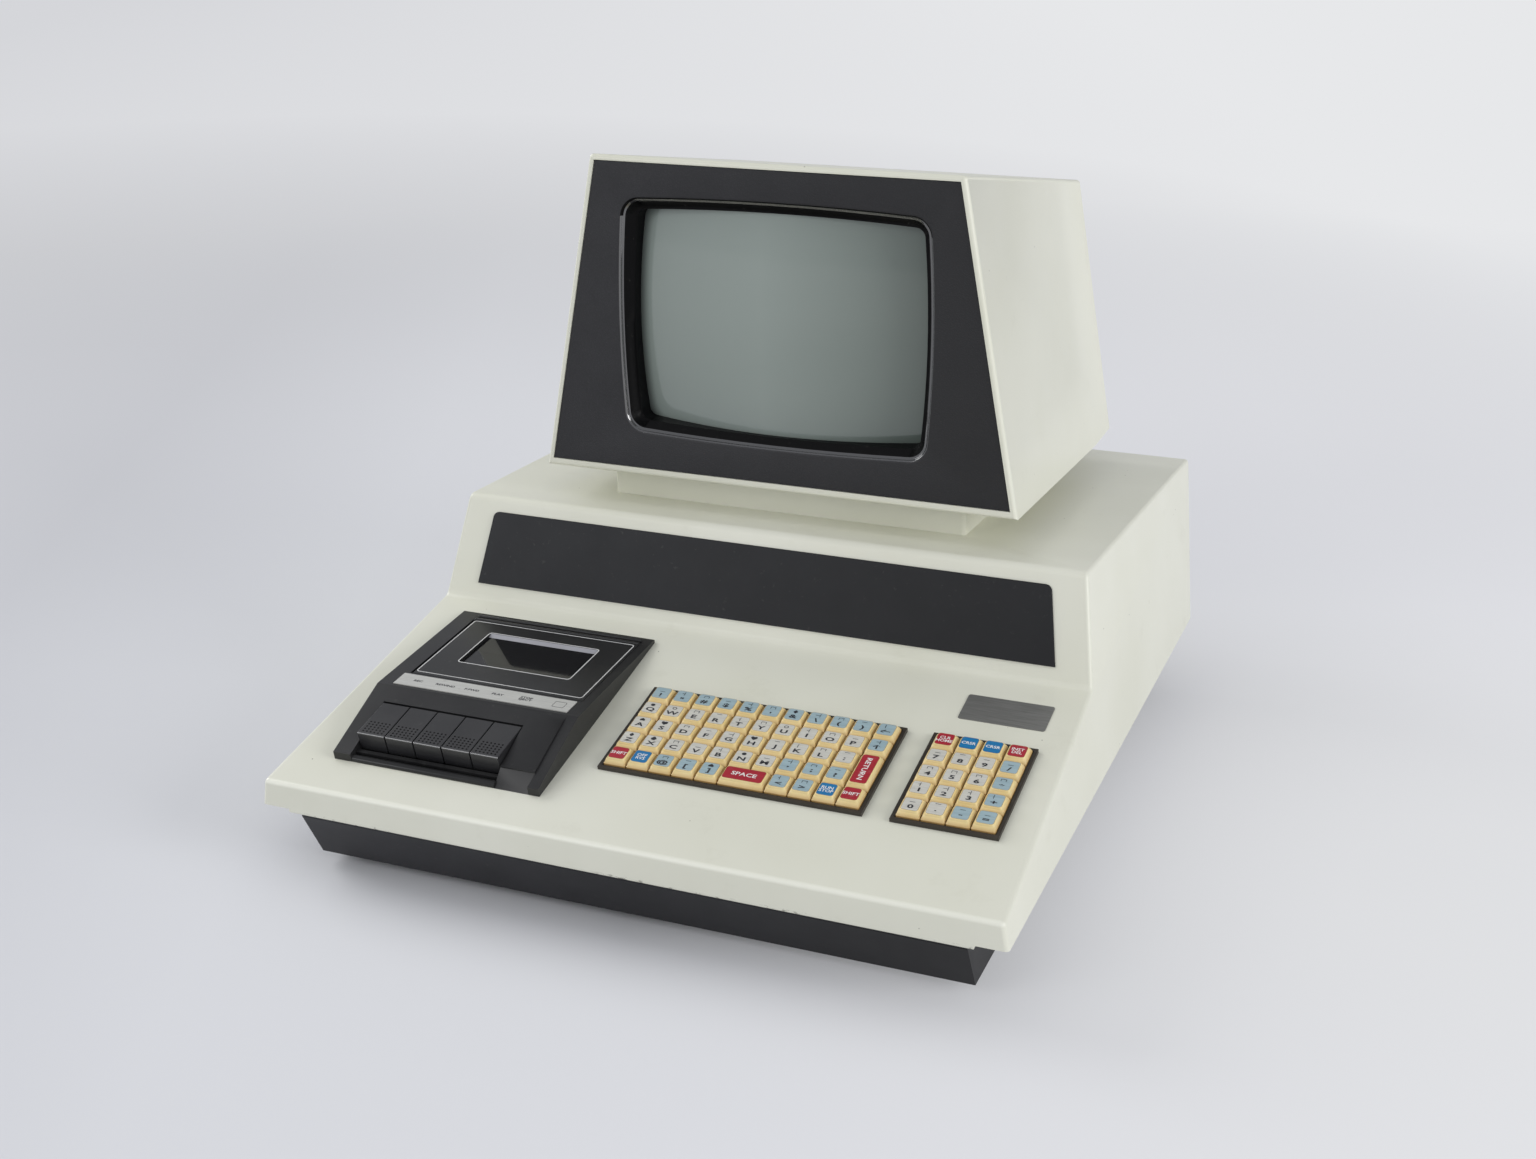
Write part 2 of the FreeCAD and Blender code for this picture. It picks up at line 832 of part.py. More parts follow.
def transformer():
    """Laminated core on the pan floor with the coil through its window."""
    x0 = transformer_x - core_width / 2
    y0 = transformer_y - core_length / 2
    z0 = pan_floor_z
    core = block(x0, x0 + core_width, y0, y0 + core_length, z0, z0 + core_height)
    gap = seat_gap
    half_coil = coil_width / 2
    window = block(transformer_x - half_coil - gap, transformer_x + half_coil + gap,
                   y0 - overrun, y0 + core_length + overrun,
                   z0 + coil_margin, z0 + core_height - coil_margin)
    post = block(transformer_x - core_leg / 2, transformer_x + core_leg / 2,
                 y0 - overrun, y0 + core_length + overrun, z0, z0 + core_height)
    core = core.cut(window.cut(post))
    foot = block(x0 - core_foot_reach, x0 + core_width + core_foot_reach, y0,
                 y0 + core_length, z0, z0 + core_foot)
    core = core.fuse(foot).removeSplitter()
    coil_y = transformer_y - coil_length / 2
    coil = block(transformer_x - half_coil, transformer_x + half_coil, coil_y,
                 coil_y + coil_length, z0 + coil_margin + gap,
                 z0 + core_height - coil_margin - gap)
    hole = block(transformer_x - core_leg / 2 - gap, transformer_x + core_leg / 2 + gap,
                 y0 - gap, y0 + core_length + gap, z0, z0 + core_height)
    return group([core, coil.cut(hole)])


def smoothing_capacitor():
    can = cylinder(capacitor_radius, V(capacitor_x, capacitor_y, pan_floor_z),
                   V(capacitor_x, capacitor_y, pan_floor_z + capacitor_height))
    top = pan_floor_z + capacitor_height
    return round_edges_at_height(can, capacitor_rim, top)


def round_edges_at_height(shape, radius, height):
    chosen = [e for e in shape.Edges if near(e.BoundBox.ZMin, height) and near(e.BoundBox.ZMax, height)]
    return shape.makeFillet(radius, chosen)


def power_switch():
    """Frame of the rocker switch, clipped in the pan's rear wall."""
    half_w = switch_width / 2 - slip_gap
    half_h = switch_height / 2 - slip_gap
    body = block(switch_x - half_w, switch_x + half_w, pan_rear_y - switch_body_depth, pan_rear_y,
                 power_z - half_h, power_z + half_h)
    frame = block(switch_x - half_w - switch_frame, switch_x + half_w + switch_frame,
                  pan_rear_y, pan_rear_y + switch_frame_depth,
                  power_z - half_h - switch_frame, power_z + half_h + switch_frame)
    pocket = block(switch_x - rocker_width / 2 - seat_gap, switch_x + rocker_width / 2 + seat_gap,
                   rocker_axis_y() - rocker_height, pan_rear_y + overrun,
                   power_z - half_h + seat_gap, power_z + half_h - seat_gap)
    shape = body.fuse(frame).cut(pocket)
    return shape.cut(rocker_pin_rod(rocker_pin + fit_gap, slip_gap)).removeSplitter()


def rocker_axis_y():
    return pan_rear_y - switch_frame_depth


def rocker_pin_rod(radius, spare):
    half = rocker_width / 2 + 2 * rocker_pin + spare
    return cylinder(radius, V(switch_x - half, rocker_axis_y(), power_z),
                    V(switch_x + half, rocker_axis_y(), power_z))


def switch_rocker():
    """Rocker whose two faces meet in a shallow V, on its own stub pins."""
    half_h = rocker_height / 2
    angle = math.radians(rocker_angle)
    out = switch_frame_depth + rocker_pin
    points = [(-half_h, -half_h), (out - half_h * math.tan(angle), -half_h), (out, 0),
              (out + half_h * math.tan(angle) / 2, half_h), (-half_h, half_h)]
    outline = [(rocker_axis_y() + y, power_z + z) for y, z in points]
    body = prism(outline, switch_x - rocker_width / 2, switch_x + rocker_width / 2)
    return body.fuse(rocker_pin_rod(rocker_pin, 0)).removeSplitter()


def mains_gland():
    """Bushing for the mains lead, without the lead."""
    flange = cylinder(gland_flange, V(gland_x, pan_rear_y, power_z),
                      V(gland_x, pan_rear_y + sheet, power_z))
    nose = cylinder(gland_radius - sheet, V(gland_x, pan_rear_y, power_z),
                    V(gland_x, pan_rear_y + gland_nose, power_z))
    neck = cylinder(gland_radius - fit_gap, V(gland_x, pan_rear_y - 2 * sheet, power_z),
                    V(gland_x, pan_rear_y, power_z))
    bore = cylinder(gland_bore, V(gland_x, pan_rear_y - overrun, power_z),
                    V(gland_x, pan_rear_y + gland_nose + overrun, power_z))
    return flange.fuse(nose).fuse(neck).cut(bore).removeSplitter()


def fuse_holder():
    flange = cylinder(fuse_flange, V(fuse_x, pan_rear_y, power_z),
                      V(fuse_x, pan_rear_y + sheet, power_z))
    cap = cylinder(fuse_radius - sheet, V(fuse_x, pan_rear_y, power_z),
                   V(fuse_x, pan_rear_y + fuse_cap, power_z))
    body = cylinder(fuse_radius - fit_gap, V(fuse_x, pan_rear_y - fuse_body, power_z),
                    V(fuse_x, pan_rear_y, power_z))
    slot = block(fuse_x - fuse_radius, fuse_x + fuse_radius, pan_rear_y + fuse_cap - sheet,
                 pan_rear_y + fuse_cap + overrun, power_z - sheet / 2, power_z + sheet / 2)
    return flange.fuse(cap).fuse(body).cut(slot).removeSplitter()


# Keyboards
def surround(centre_x, columns):
    """Rim, well, guide floor and posts of one keyboard, as one moulding."""
    x0, x1 = surround_span(centre_x, columns)
    s0, s1 = keyboard_front_s, keyboard_rear_s()
    floor = -well_depth - guide_floor
    rim = block(x0, x1, s0, s1, 0, rim_height)
    edge = rim_width - well_wall - slip_gap
    body = block(x0 + edge, x1 - edge, s0 + edge, s1 - edge, floor, 0)
    inner = rim_width - slip_gap
    well = block(x0 + inner, x1 - inner, s0 + inner, s1 - inner, -well_depth,
                 rim_height + overrun)
    shape = rim.fuse(body).cut(well)
    half = stem_side / 2 + slip_gap / 2
    for key_x in column_places(centre_x, columns):
        for key_s in row_places():
            shape = shape.cut(block(key_x - half, key_x + half, key_s - half, key_s + half,
                                    floor - overrun, overrun))
    reach = edge + board_post
    for x in (x0 + reach, x1 - reach):
        for s in (s0 + reach, s1 - reach):
            shape = shape.fuse(cylinder(board_post, V(x, s, board_h),
                                        V(x, s, floor + guide_floor / 2)))
    return on_deck(shape.removeSplitter())


def column_places(centre_x, columns):
    return [centre_x + (i - (columns - 1) / 2) * key_pitch_x for i in range(columns)]


def row_places():
    """Middles of the rows, from the rear row to the front one."""
    front = keyboard_front_s + rim_width + key_pitch_s / 2
    return [front + (key_rows - 1 - i) * key_pitch_s for i in range(key_rows)]


def rectangle(x, s, half_x, half_s, h):
    corners = [V(x - half_x, s - half_s, h), V(x + half_x, s - half_s, h),
               V(x + half_x, s + half_s, h), V(x - half_x, s + half_s, h)]
    return Part.makePolygon(corners + corners[:1])


def key(x, s, cells_x=1, cells_s=1):
    """One key: skirt, sloped shoulder, raised cap and the stem in its guide hole."""
    half_x = (cells_x * key_pitch_x - key_gap) / 2
    half_s = (cells_s * key_pitch_s - key_gap) / 2
    cap_x = key_cap_x / 2 + (cells_x - 1) * key_pitch_x / 2
    cap_s = key_cap_s / 2 + (cells_s - 1) * key_pitch_s / 2
    loops = [rectangle(x, s, half_x, half_s, skirt_low),
             rectangle(x, s, half_x, half_s, skirt_high),
             rectangle(x, s + cap_shift, cap_x, cap_s, shoulder_high),
             rectangle(x, s + cap_shift, cap_x - cap_draft, cap_s - cap_draft, key_top)]
    cap = Part.makeLoft(loops, True, True)
    half = stem_side / 2
    low = -well_depth - guide_floor - post_length + key_travel + seat_gap
    stem_x = x - (cells_x - 1) * key_pitch_x / 2
    stem_s = s - (cells_s - 1) * key_pitch_s / 2
    stem = block(stem_x - half, stem_x + half, stem_s - half, stem_s + half, low,
                 (skirt_low + skirt_high) / 2)
    return cap.fuse(stem)


def row_columns(row):
    """Columns of single keys in a row of the main keyboard."""
    columns = list(range(key_columns))
    if row in (2, 3):
        columns = columns[:-1]
    if row == key_rows - 1:
        middle = key_columns // 2
        columns = [c for c in columns if c not in (middle, middle + 1)]
    return columns


def key_row(row):
    xs = column_places(keyboard_centre_x, key_columns)
    s = row_places()[row]
    return on_deck(group([key(xs[column], s) for column in row_columns(row)]))


def space_key():
    xs = column_places(keyboard_centre_x, key_columns)
    middle = key_columns // 2
    return on_deck(key((xs[middle] + xs[middle + 1]) / 2, row_places()[-1], cells_x=2))


def return_key():
    xs = column_places(keyboard_centre_x, key_columns)
    rows = row_places()
    return on_deck(key(xs[-1], (rows[2] + rows[3]) / 2, cells_s=2))


def keypad_column(column):
    x = column_places(keypad_centre_x, pad_columns)[column]
    return on_deck(group([key(x, s) for s in row_places()]))


def keyboard_board():
    """Contact board under both keyboards, seated on the posts of their surrounds."""
    x0 = surround_span(keyboard_centre_x, key_columns)[0] + rim_width
    x1 = surround_span(keypad_centre_x, pad_columns)[1] - rim_width
    return on_deck(block(x0, x1, keyboard_front_s + rim_width / 2,
                         keyboard_rear_s() - rim_width / 2, board_h - board_thickness, board_h))


# Tape deck body
def tape_profile():
    return [(tape_front_s, 0), (tape_front_s, tape_lip_h), (tape_crest_s, tape_crest_h),
            (tape_rear_s, tape_rear_h), (tape_rear_s, 0)]


def well_frame(grow, low, high):
    return block(door_left_x - grow, door_right_x + grow, door_start - grow,
                 door_start + door_length + grow, low, high)


def front_height(s):
    share = (s - tape_front_s) / (tape_crest_s - tape_front_s)
    return tape_lip_h + share * (tape_crest_h - tape_lip_h)


def tape_ears():
    """Cheeks inside the body that hold the ends of the key axle."""
    solids = []
    for x0 in (key_bay_left - tape_ear, key_bay_right):
        solids.append(block(x0, x0 + tape_ear, tape_axle_s - tape_boss, tape_axle_s + tape_boss,
                            tape_axle_h - tape_boss, tape_crest_h - tape_wall / 2 - tape_wall))
    return solids


def cheek_plate():
    """Raised flat of the right cheek beside the lower strip along its edge."""
    sloped = tape_crest_s - cheek_slope
    end = tape_crest_s - cheek_end
    front = front_height(cheek_bevel_s)
    return prism([(cheek_bevel_s, front - cheek_sink), (cheek_bevel_s, front + cheek_rise),
                  (sloped, front_height(sloped) + cheek_rise), (end, front_height(end)),
                  (end, front_height(end) - cheek_sink)],
                 key_bay_right, tape_right_x - cheek_bevel_x)


def tape_housing():
    profile = tape_profile()
    body = prism(profile, tape_left_x, tape_right_x)
    bevel_h = front_height(cheek_bevel_s)
    bevel = prism([(tape_front_s - overrun, -overrun), (tape_front_s, 0),
                   (cheek_bevel_s, bevel_h), (cheek_bevel_s, bevel_h + overrun),
                   (tape_front_s - overrun, bevel_h + overrun)],
                  key_bay_right, tape_right_x - cheek_bevel_x)
    body = body.cut(bevel).fuse(cheek_plate()).fuse(tape_collar(0)).removeSplitter()
    walls = [tape_solid_front, tape_wall, tape_wall, tape_wall + tape_collar_inset, -overrun]
    cavity = prism(inset(profile, walls), tape_left_x + tape_collar_inset + tape_wall,
                   tape_right_x - tape_collar_inset - tape_wall)
    lower = block(tape_left_x + tape_collar_inset + tape_wall,
                  tape_right_x - tape_collar_inset - tape_wall,
                  tape_front_s + tape_solid_front,
                  tape_rear_s - tape_collar_inset - tape_wall,
                  -tape_collar_depth - overrun, 0)
    body = body.cut(cavity.fuse(lower))
    for ear in tape_ears():
        body = body.fuse(ear)
    well = placed(well_frame(well_skin, -well_drop, -tape_wall / 2), tape_crest_s, tape_crest_h,
                  -tape_tilt)
    body = body.fuse(well)
    opening = placed(well_frame(0, -well_drop - overrun, overrun), tape_crest_s, tape_crest_h,
                     -tape_tilt)
    body = body.cut(opening)
    pins = placed(door_pin_rod(door_pin + fit_gap, well_skin), tape_crest_s, tape_crest_h,
                  -tape_tilt)
    body = body.cut(pins)
    bay = block(key_bay_left, key_bay_right, tape_bay_front_s, tape_bay_s,
                -tape_collar_depth - overrun, tape_crest_h + overrun)
    front = block(key_bay_left, key_bay_right, tape_front_s - overrun, tape_bay_front_s + overrun,
                  0, tape_crest_h + overrun)
    ledge = block(key_bay_left, key_bay_right, tape_bay_front_s - bay_ledge, tape_bay_front_s,
                  -tape_wall / 2, bay_ledge_h)
    body = body.cut(bay).cut(front).fuse(ledge)
    rail_s = tape_front_s + rail_radius
    rail = cylinder(rail_radius, V(key_bay_left, rail_s, rail_h), V(key_bay_right, rail_s, rail_h))
    rail = rail.cut(block(key_bay_left - overrun, key_bay_right + overrun,
                          rail_s - 2 * rail_radius, rail_s + 2 * rail_radius,
                          -2 * rail_radius, 0))
    body = body.fuse(rail)
    axle_hole = cylinder(tape_axle_radius + fit_gap,
                         V(key_bay_left - tape_ear, tape_axle_s, tape_axle_h),
                         V(key_bay_right + tape_ear, tape_axle_s, tape_axle_h))
    return on_deck(body.cut(axle_hole).removeSplitter())


def door_pin_rod(radius, reach):
    t = door_start + door_length - door_pin_inset
    m = -door_thickness / 2
    return cylinder(radius, V(door_left_x - reach, t, m), V(door_right_x + reach, t, m))


def window_left():
    return door_left_x + window_offset


def tape_door():
    """Lid of the cassette well with its window opening and two stub pins."""
    x0 = door_left_x + door_gap + door_groove
    x1 = door_right_x - door_gap
    t0 = door_start + door_gap
    t1 = door_start + door_length - door_gap
    plate = block(x0, x1, t0, t1, -door_thickness, 0)
    plate = round_edges(plate, door_thickness / 2 - seat_gap / 2,
                        lambda middle, along: near(middle.y, t1) and near(abs(along.x), 1))
    t = door_start + window_start
    hole = block(window_left(), window_left() + window_width, t, t + window_length,
                 -door_thickness - overrun, overrun)
    seat = block(window_left() - window_ledge, window_left() + window_width + window_ledge,
                 t - window_ledge, t + window_length + window_ledge,
                 -door_thickness - overrun, -door_thickness + window_thickness)
    plate = plate.cut(hole).cut(seat).fuse(door_pin_rod(door_pin, well_skin - slip_gap))
    return on_tape(plate.removeSplitter())


def tape_window():
    t = door_start + window_start
    edge = window_ledge - slip_gap
    return on_tape(block(window_left() - edge, window_left() + window_width + edge, t - edge,
                         t + window_length + edge, -door_thickness,
                         -door_thickness + window_thickness))


def tape_label_strip():
    x0 = tape_left_x + strip_edge
    return on_tape(block(x0, x0 + strip_width, strip_start, strip_start + strip_length,
                         0, strip_thickness))


# Tape keys
def tape_key(index):
    """Piano key: hollow cap in front, an arm to the boss that turns on the axle."""
    x0 = key_bay_left + tape_bay_margin + index * tape_key_pitch
    x1 = x0 + tape_key_pitch - tape_key_gap
    cap = block(x0, x1, tape_key_front_s, tape_key_back_s, tape_key_bottom, tape_key_top)
    skin = tape_key_skin
    pocket = block(x0 + skin, x1 - skin, tape_key_front_s + skin, tape_key_back_s - skin,
                   tape_key_bottom - overrun, tape_key_top - skin)
    cap = cap.cut(pocket)
    middle = (x0 + x1) / 2
    arm = block(middle - tape_key_arm, middle + tape_key_arm, tape_key_back_s - skin, tape_axle_s,
                tape_axle_h - tape_axle_radius, tape_axle_h + tape_boss)
    boss = cylinder(tape_boss, V(middle - tape_key_arm, tape_axle_s, tape_axle_h),
                    V(middle + tape_key_arm, tape_axle_s, tape_axle_h))
    bore = cylinder(tape_axle_radius + fit_gap, V(x0, tape_axle_s, tape_axle_h),
                    V(x1, tape_axle_s, tape_axle_h))
    return on_deck(cap.fuse(arm).fuse(boss).cut(bore).removeSplitter())


def tape_key_axle():
    return on_deck(cylinder(tape_axle_radius,
                            V(key_bay_left - tape_ear, tape_axle_s, tape_axle_h),
                            V(key_bay_right + tape_ear, tape_axle_s, tape_axle_h)))


# Tape mechanism
def chassis_low():
    return -well_drop - chassis_thickness


def spindle_x(side):
    return tape_centre_x + side * spindle_spacing / 2


def capstan_x():
    return tape_centre_x + capstan_offset_x


def motor_x():
    return tape_centre_x + motor_offset_x


def flywheel_top():
    return chassis_low() - flywheel_drop


def through(x, t, radius):
    return cylinder(radius, V(x, t, chassis_low() - overrun), V(x, t, -well_drop + overrun))


def tape_chassis():
    """Steel plate that closes the cassette well and carries the mechanism."""
    plate = well_frame(well_skin, chassis_low(), -well_drop)
    for side in (-1, 1):
        plate = plate.cut(through(spindle_x(side), spindle_t, spindle_shaft + fit_gap))
    tube = cylinder(capstan_tube, V(capstan_x(), capstan_t, chassis_low()),
                    V(capstan_x(), capstan_t, flywheel_top() + seat_gap))
    plate = plate.fuse(tube)
    bore = cylinder(capstan_radius + fit_gap, V(capstan_x(), capstan_t, flywheel_top() - overrun),
                    V(capstan_x(), capstan_t, overrun))
    return on_tape(plate.cut(bore).removeSplitter())


def spindle(side):
    """Reel hub with three drive fins on a shaft through the chassis."""
    x = spindle_x(side)
    low = -well_drop + seat_gap
    disc_top = low + spindle_disc_height
    shape = cylinder(spindle_disc, V(x, spindle_t, low), V(x, spindle_t, disc_top))
    hub_top = low + spindle_hub_height
    shape = shape.fuse(cylinder(spindle_hub / 2, V(x, spindle_t, low), V(x, spindle_t, hub_top)))
    fin = block(x, x + spindle_hub, spindle_t - spindle_shaft / 2, spindle_t + spindle_shaft / 2,
                disc_top - spindle_shaft, hub_top)
    for turn in range(spindle_fins):
        blade = fin.copy()
        blade.rotate(V(x, spindle_t, 0), V(0, 0, 1), turn * 360 / spindle_fins)
        shape = shape.fuse(blade)
    shape = shape.fuse(cylinder(spindle_shaft, V(x, spindle_t, chassis_low() - spindle_tail),
                                V(x, spindle_t, disc_top)))
    return on_tape(shape.removeSplitter())


def flywheel():
    x = capstan_x()
    top = flywheel_top()
    disc = cylinder(flywheel_radius, V(x, capstan_t, top - flywheel_thickness),
                    V(x, capstan_t, top))
    shaft = cylinder(capstan_radius, V(x, capstan_t, top - flywheel_thickness / 2),
                     V(x, capstan_t, -well_drop + capstan_height))
    return on_tape(disc.fuse(shaft).removeSplitter())


def motor_shaft_end():
    return flywheel_top() - flywheel_thickness


def tape_motor():
    body = cylinder(motor_radius, V(motor_x(), motor_t, chassis_low() - motor_height),
                    V(motor_x(), motor_t, chassis_low()))
    hole = cylinder(spindle_shaft / 2 + fit_gap,
                    V(motor_x(), motor_t, chassis_low() - motor_height - overrun),
                    V(motor_x(), motor_t, chassis_low() - motor_height + 2 * spindle_shaft))
    return on_tape(body.cut(hole))


def motor_pulley():
    x = motor_x()
    low = motor_shaft_end()
    wheel = cylinder(pulley_radius, V(x, motor_t, low),
                     V(x, motor_t, chassis_low() - motor_height - seat_gap))
    shaft = cylinder(spindle_shaft / 2, V(x, motor_t, low),
                     V(x, motor_t, chassis_low() - motor_height + spindle_shaft))
    return on_tape(wheel.fuse(shaft).removeSplitter())


def belt_loop(grow, low, high):
    """Closed band round the pulley and the flywheel, as a filled shape."""
    ax, at = motor_x(), motor_t
    bx, bt = capstan_x(), capstan_t
    ra = pulley_radius + belt_gap + grow
    rb = flywheel_radius + belt_gap + grow
    distance = math.hypot(bx - ax, bt - at)
    base = math.atan2(bt - at, bx - ax)
    spread = math.acos((ra - rb) / distance)
    corners = []
    for x, t, radius, angle in ((ax, at, ra, base + spread), (bx, bt, rb, base + spread),
                                (bx, bt, rb, base - spread), (ax, at, ra, base - spread)):
        corners.append(V(x + radius * math.cos(angle), t + radius * math.sin(angle), low))
    middle = polygon_face(corners).extrude(V(0, 0, high - low))
    round_a = cylinder(ra, V(ax, at, low), V(ax, at, high))
    round_b = cylinder(rb, V(bx, bt, low), V(bx, bt, high))
    return middle.fuse(round_a).fuse(round_b)


def drive_belt():
    middle = flywheel_top() - flywheel_thickness / 2
    low = middle - belt_width / 2
    high = middle + belt_width / 2
    outer = belt_loop(belt_thickness, low, high)
    return on_tape(outer.cut(belt_loop(0, low - overrun, high + overrun)).removeSplitter())


def tape_head():
    """Sliding plate that carries the head and the pin of the pinch roller."""
    low = -well_drop + seat_gap
    x = tape_centre_x
    plate = block(x - plate_width / 2, x + plate_width / 2, head_front_t,
                  head_front_t + plate_length, low, low + plate_thickness)
    head = block(x - head_width / 2, x + head_width / 2, head_front_t,
                 head_front_t + head_length, low + plate_thickness, low + head_height)
    pin = cylinder(roller_pin, V(capstan_x(), roller_t(), low),
                   V(capstan_x(), roller_t(), low + plate_thickness + roller_height + seat_gap))
    return on_tape(plate.fuse(head).fuse(pin).removeSplitter())


def roller_t():
    return capstan_t - capstan_radius - roller_radius - head_travel - seat_gap


def pinch_roller():
    low = -well_drop + 2 * seat_gap + plate_thickness
    roller = cylinder(roller_radius, V(capstan_x(), roller_t(), low),
                      V(capstan_x(), roller_t(), low + roller_height))
    bore = cylinder(roller_pin + fit_gap, V(capstan_x(), roller_t(), low - overrun),
                    V(capstan_x(), roller_t(), low + roller_height + overrun))
    return on_tape(roller.cut(bore))


# Monitor cabinet
def monitor_profile():
    bend_y = monitor_y + monitor_bend_run
    bend_z = monitor_bottom_z - monitor_bend_drop
    return [(monitor_y, monitor_bottom_z), (monitor_top_y, monitor_top_z),
            (monitor_top_y + monitor_top_run, monitor_top_z - monitor_top_drop),
            (bend_y + monitor_heel_run, bend_z - monitor_heel_drop), (bend_y, bend_z)]


def monitor_half_width(grow):
    """Half width of the cabinet at any height and depth, moved in by a wall."""
    rise = monitor_height + monitor_front_lean * top_slope
    lean = (monitor_width_bottom - monitor_width_top) / 2 / rise
    slant = math.sqrt(1 + lean ** 2 + (lean * top_slope) ** 2)

    def half_width(y, z):
        height = z - monitor_bottom_z + (y - monitor_y) * top_slope
        return monitor_width_bottom / 2 - lean * height - grow * slant
    return half_width


def monitor_room(front, top, rear, bottom, side):
    walls = [front, top, rear, bottom, bottom]
    return leaning_solid(inset(monitor_profile(), walls), monitor_half_width(side))


def plate_in_cabinet(edge_start, edge_end, near_side, far_side):
    """Slab that runs along one side of the outline, between two depths."""
    (ay, az), (by, bz) = edge_start, edge_end
    length = math.hypot(by - ay, bz - az)
    dy, dz = (by - ay) / length, (bz - az) / length
    ny, nz = dz, -dy
    reach = monitor_height

    def point(along, depth):
        return (ay + dy * along + ny * depth, az + dz * along + nz * depth)
    outline = [point(-reach, near_side), point(length + reach, near_side),
               point(length + reach, far_side), point(-reach, far_side)]
    return prism(outline, -monitor_width_bottom, monitor_width_bottom)


def monitor_shell():
    shell = leaning_solid(monitor_profile(), monitor_half_width(0))

    def outer_edge(middle, along):
        at_front = near(middle.y, monitor_y + (middle.z - monitor_bottom_z)
                        * monitor_front_lean / monitor_height)
        on_top = middle.z > monitor_bottom_z + monitor_height / 2
        lengthways = abs(along.y) > abs(along.x) + abs(along.z)
        return at_front or (lengthways and on_top)
    shell = round_edges(shell, monitor_bend, outer_edge)
    room = monitor_room(rim_depth, monitor_wall, -overrun, monitor_wall, monitor_wall)
    mouth = monitor_room(-overrun, rim_top, back_recess, rim_bottom, rim_side)
    mouth = mouth.common(plate_in_cabinet(monitor_profile()[0], monitor_profile()[1],
                                          -2 * overrun, rim_depth + overrun))
    shell = shell.cut(room).cut(mouth)
    hole_y = front_y + pedestal_setback + pedestal_depth / 2
    hole = cylinder(pedestal_hole / 2, V(0, hole_y, crease_z),
                    V(0, hole_y, monitor_bottom_z + overrun))
    return shell.cut(hole).removeSplitter()


def monitor_back():
    """Rear panel with its vents, its screw holes and the boss of the knob."""
    room = monitor_room(rim_depth, monitor_wall + slip_gap, 0, monitor_wall + slip_gap,
                        monitor_wall + slip_gap)
    profile = monitor_profile()
    slab = plate_in_cabinet(profile[2], profile[3], back_recess, back_recess + back_thickness)
    panel = room.common(slab)
    for row in range(vent_rows):
        high = monitor_top_z - monitor_top_drop - vent_top_margin
        high = high - row * (vent_height + vent_row_gap)
        for i in range(vent_count):
            x = (i - (vent_count - 1) / 2) * vent_pitch
            panel = panel.cut(block(x - vent_width / 2, x + vent_width / 2,
                                    monitor_y + monitor_bend_run, rear_y,
                                    high - vent_height, high))
    boss = knob_cylinder(knob_boss, back_recess + back_thickness / 2,
                         back_recess + back_thickness + knob_boss_length)
    bore = knob_cylinder(knob_shaft + fit_gap, back_recess - overrun,
                         back_recess + back_thickness + knob_boss_length + overrun)
    panel = panel.fuse(boss).cut(bore)
    for start, end in screw_places():
        panel = panel.cut(cylinder(screw_shank + fit_gap, start, end))
    return panel.removeSplitter()


def rear_point(rise, depth):
    """Point on the rear slope, at a rise above its foot and a depth inside it."""
    profile = monitor_profile()
    (ay, az), (by, bz) = profile[3], profile[2]
    length = math.hypot(by - ay, bz - az)
    dy, dz = (by - ay) / length, (bz - az) / length
    return ay + dy * rise - dz * depth, az + dz * rise + dy * depth


def knob_cylinder(radius, near_depth, far_depth):
    y0, z0 = rear_point(knob_rise, near_depth)
    y1, z1 = rear_point(knob_rise, far_depth)
    return cylinder(radius, V(knob_x, y0, z0), V(knob_x, y1, z1))


def brightness_knob():
    """Fluted knob outside the rear panel, with its shaft in the boss."""
    knob = knob_cylinder(knob_radius, back_recess - seat_gap, back_recess - seat_gap - knob_length)
    shaft = knob_cylinder(knob_shaft, back_recess - knob_length / 2,
                          back_recess + back_thickness + knob_boss_length)
    collar = knob_cylinder(knob_collar, back_recess + back_thickness + knob_boss_length + seat_gap,
                           back_recess + back_thickness + knob_boss_length + knob_collar)
    tail = knob_cylinder(knob_shaft, back_recess + back_thickness,
                         back_recess + back_thickness + knob_boss_length + knob_collar)
    return knob.fuse(shaft).fuse(collar).fuse(tail).removeSplitter()


def screw_places():
    """Axes of the rear panel's screws, two near the foot and two near the top."""
    profile = monitor_profile()
    length = math.hypot(profile[2][0] - profile[3][0], profile[2][1] - profile[3][1])
    places = []
    for rise in (screw_margin, length - screw_margin):
        y0, z0 = rear_point(rise, back_recess)
        y1, z1 = rear_point(rise, back_recess + back_thickness + overrun)
        x = monitor_half_width(monitor_wall)(y0, z0) - screw_margin
        for side in (-1, 1):
            places.append((V(side * x, y0, z0), V(side * x, y1, z1)))
    return places


def case_screws():
    solids = []
    for start, end in screw_places():
        along = end.sub(start).normalize()
        head = start.sub(along * screw_head_height)
        screw = cylinder(screw_head, head, start).fuse(cylinder(screw_shank, start, end))
        slot = cylinder(screw_shank / 2, head.sub(along), head + along * (screw_head_height / 2))
        solids.append(screw.cut(slot).removeSplitter())
    return group(solids)


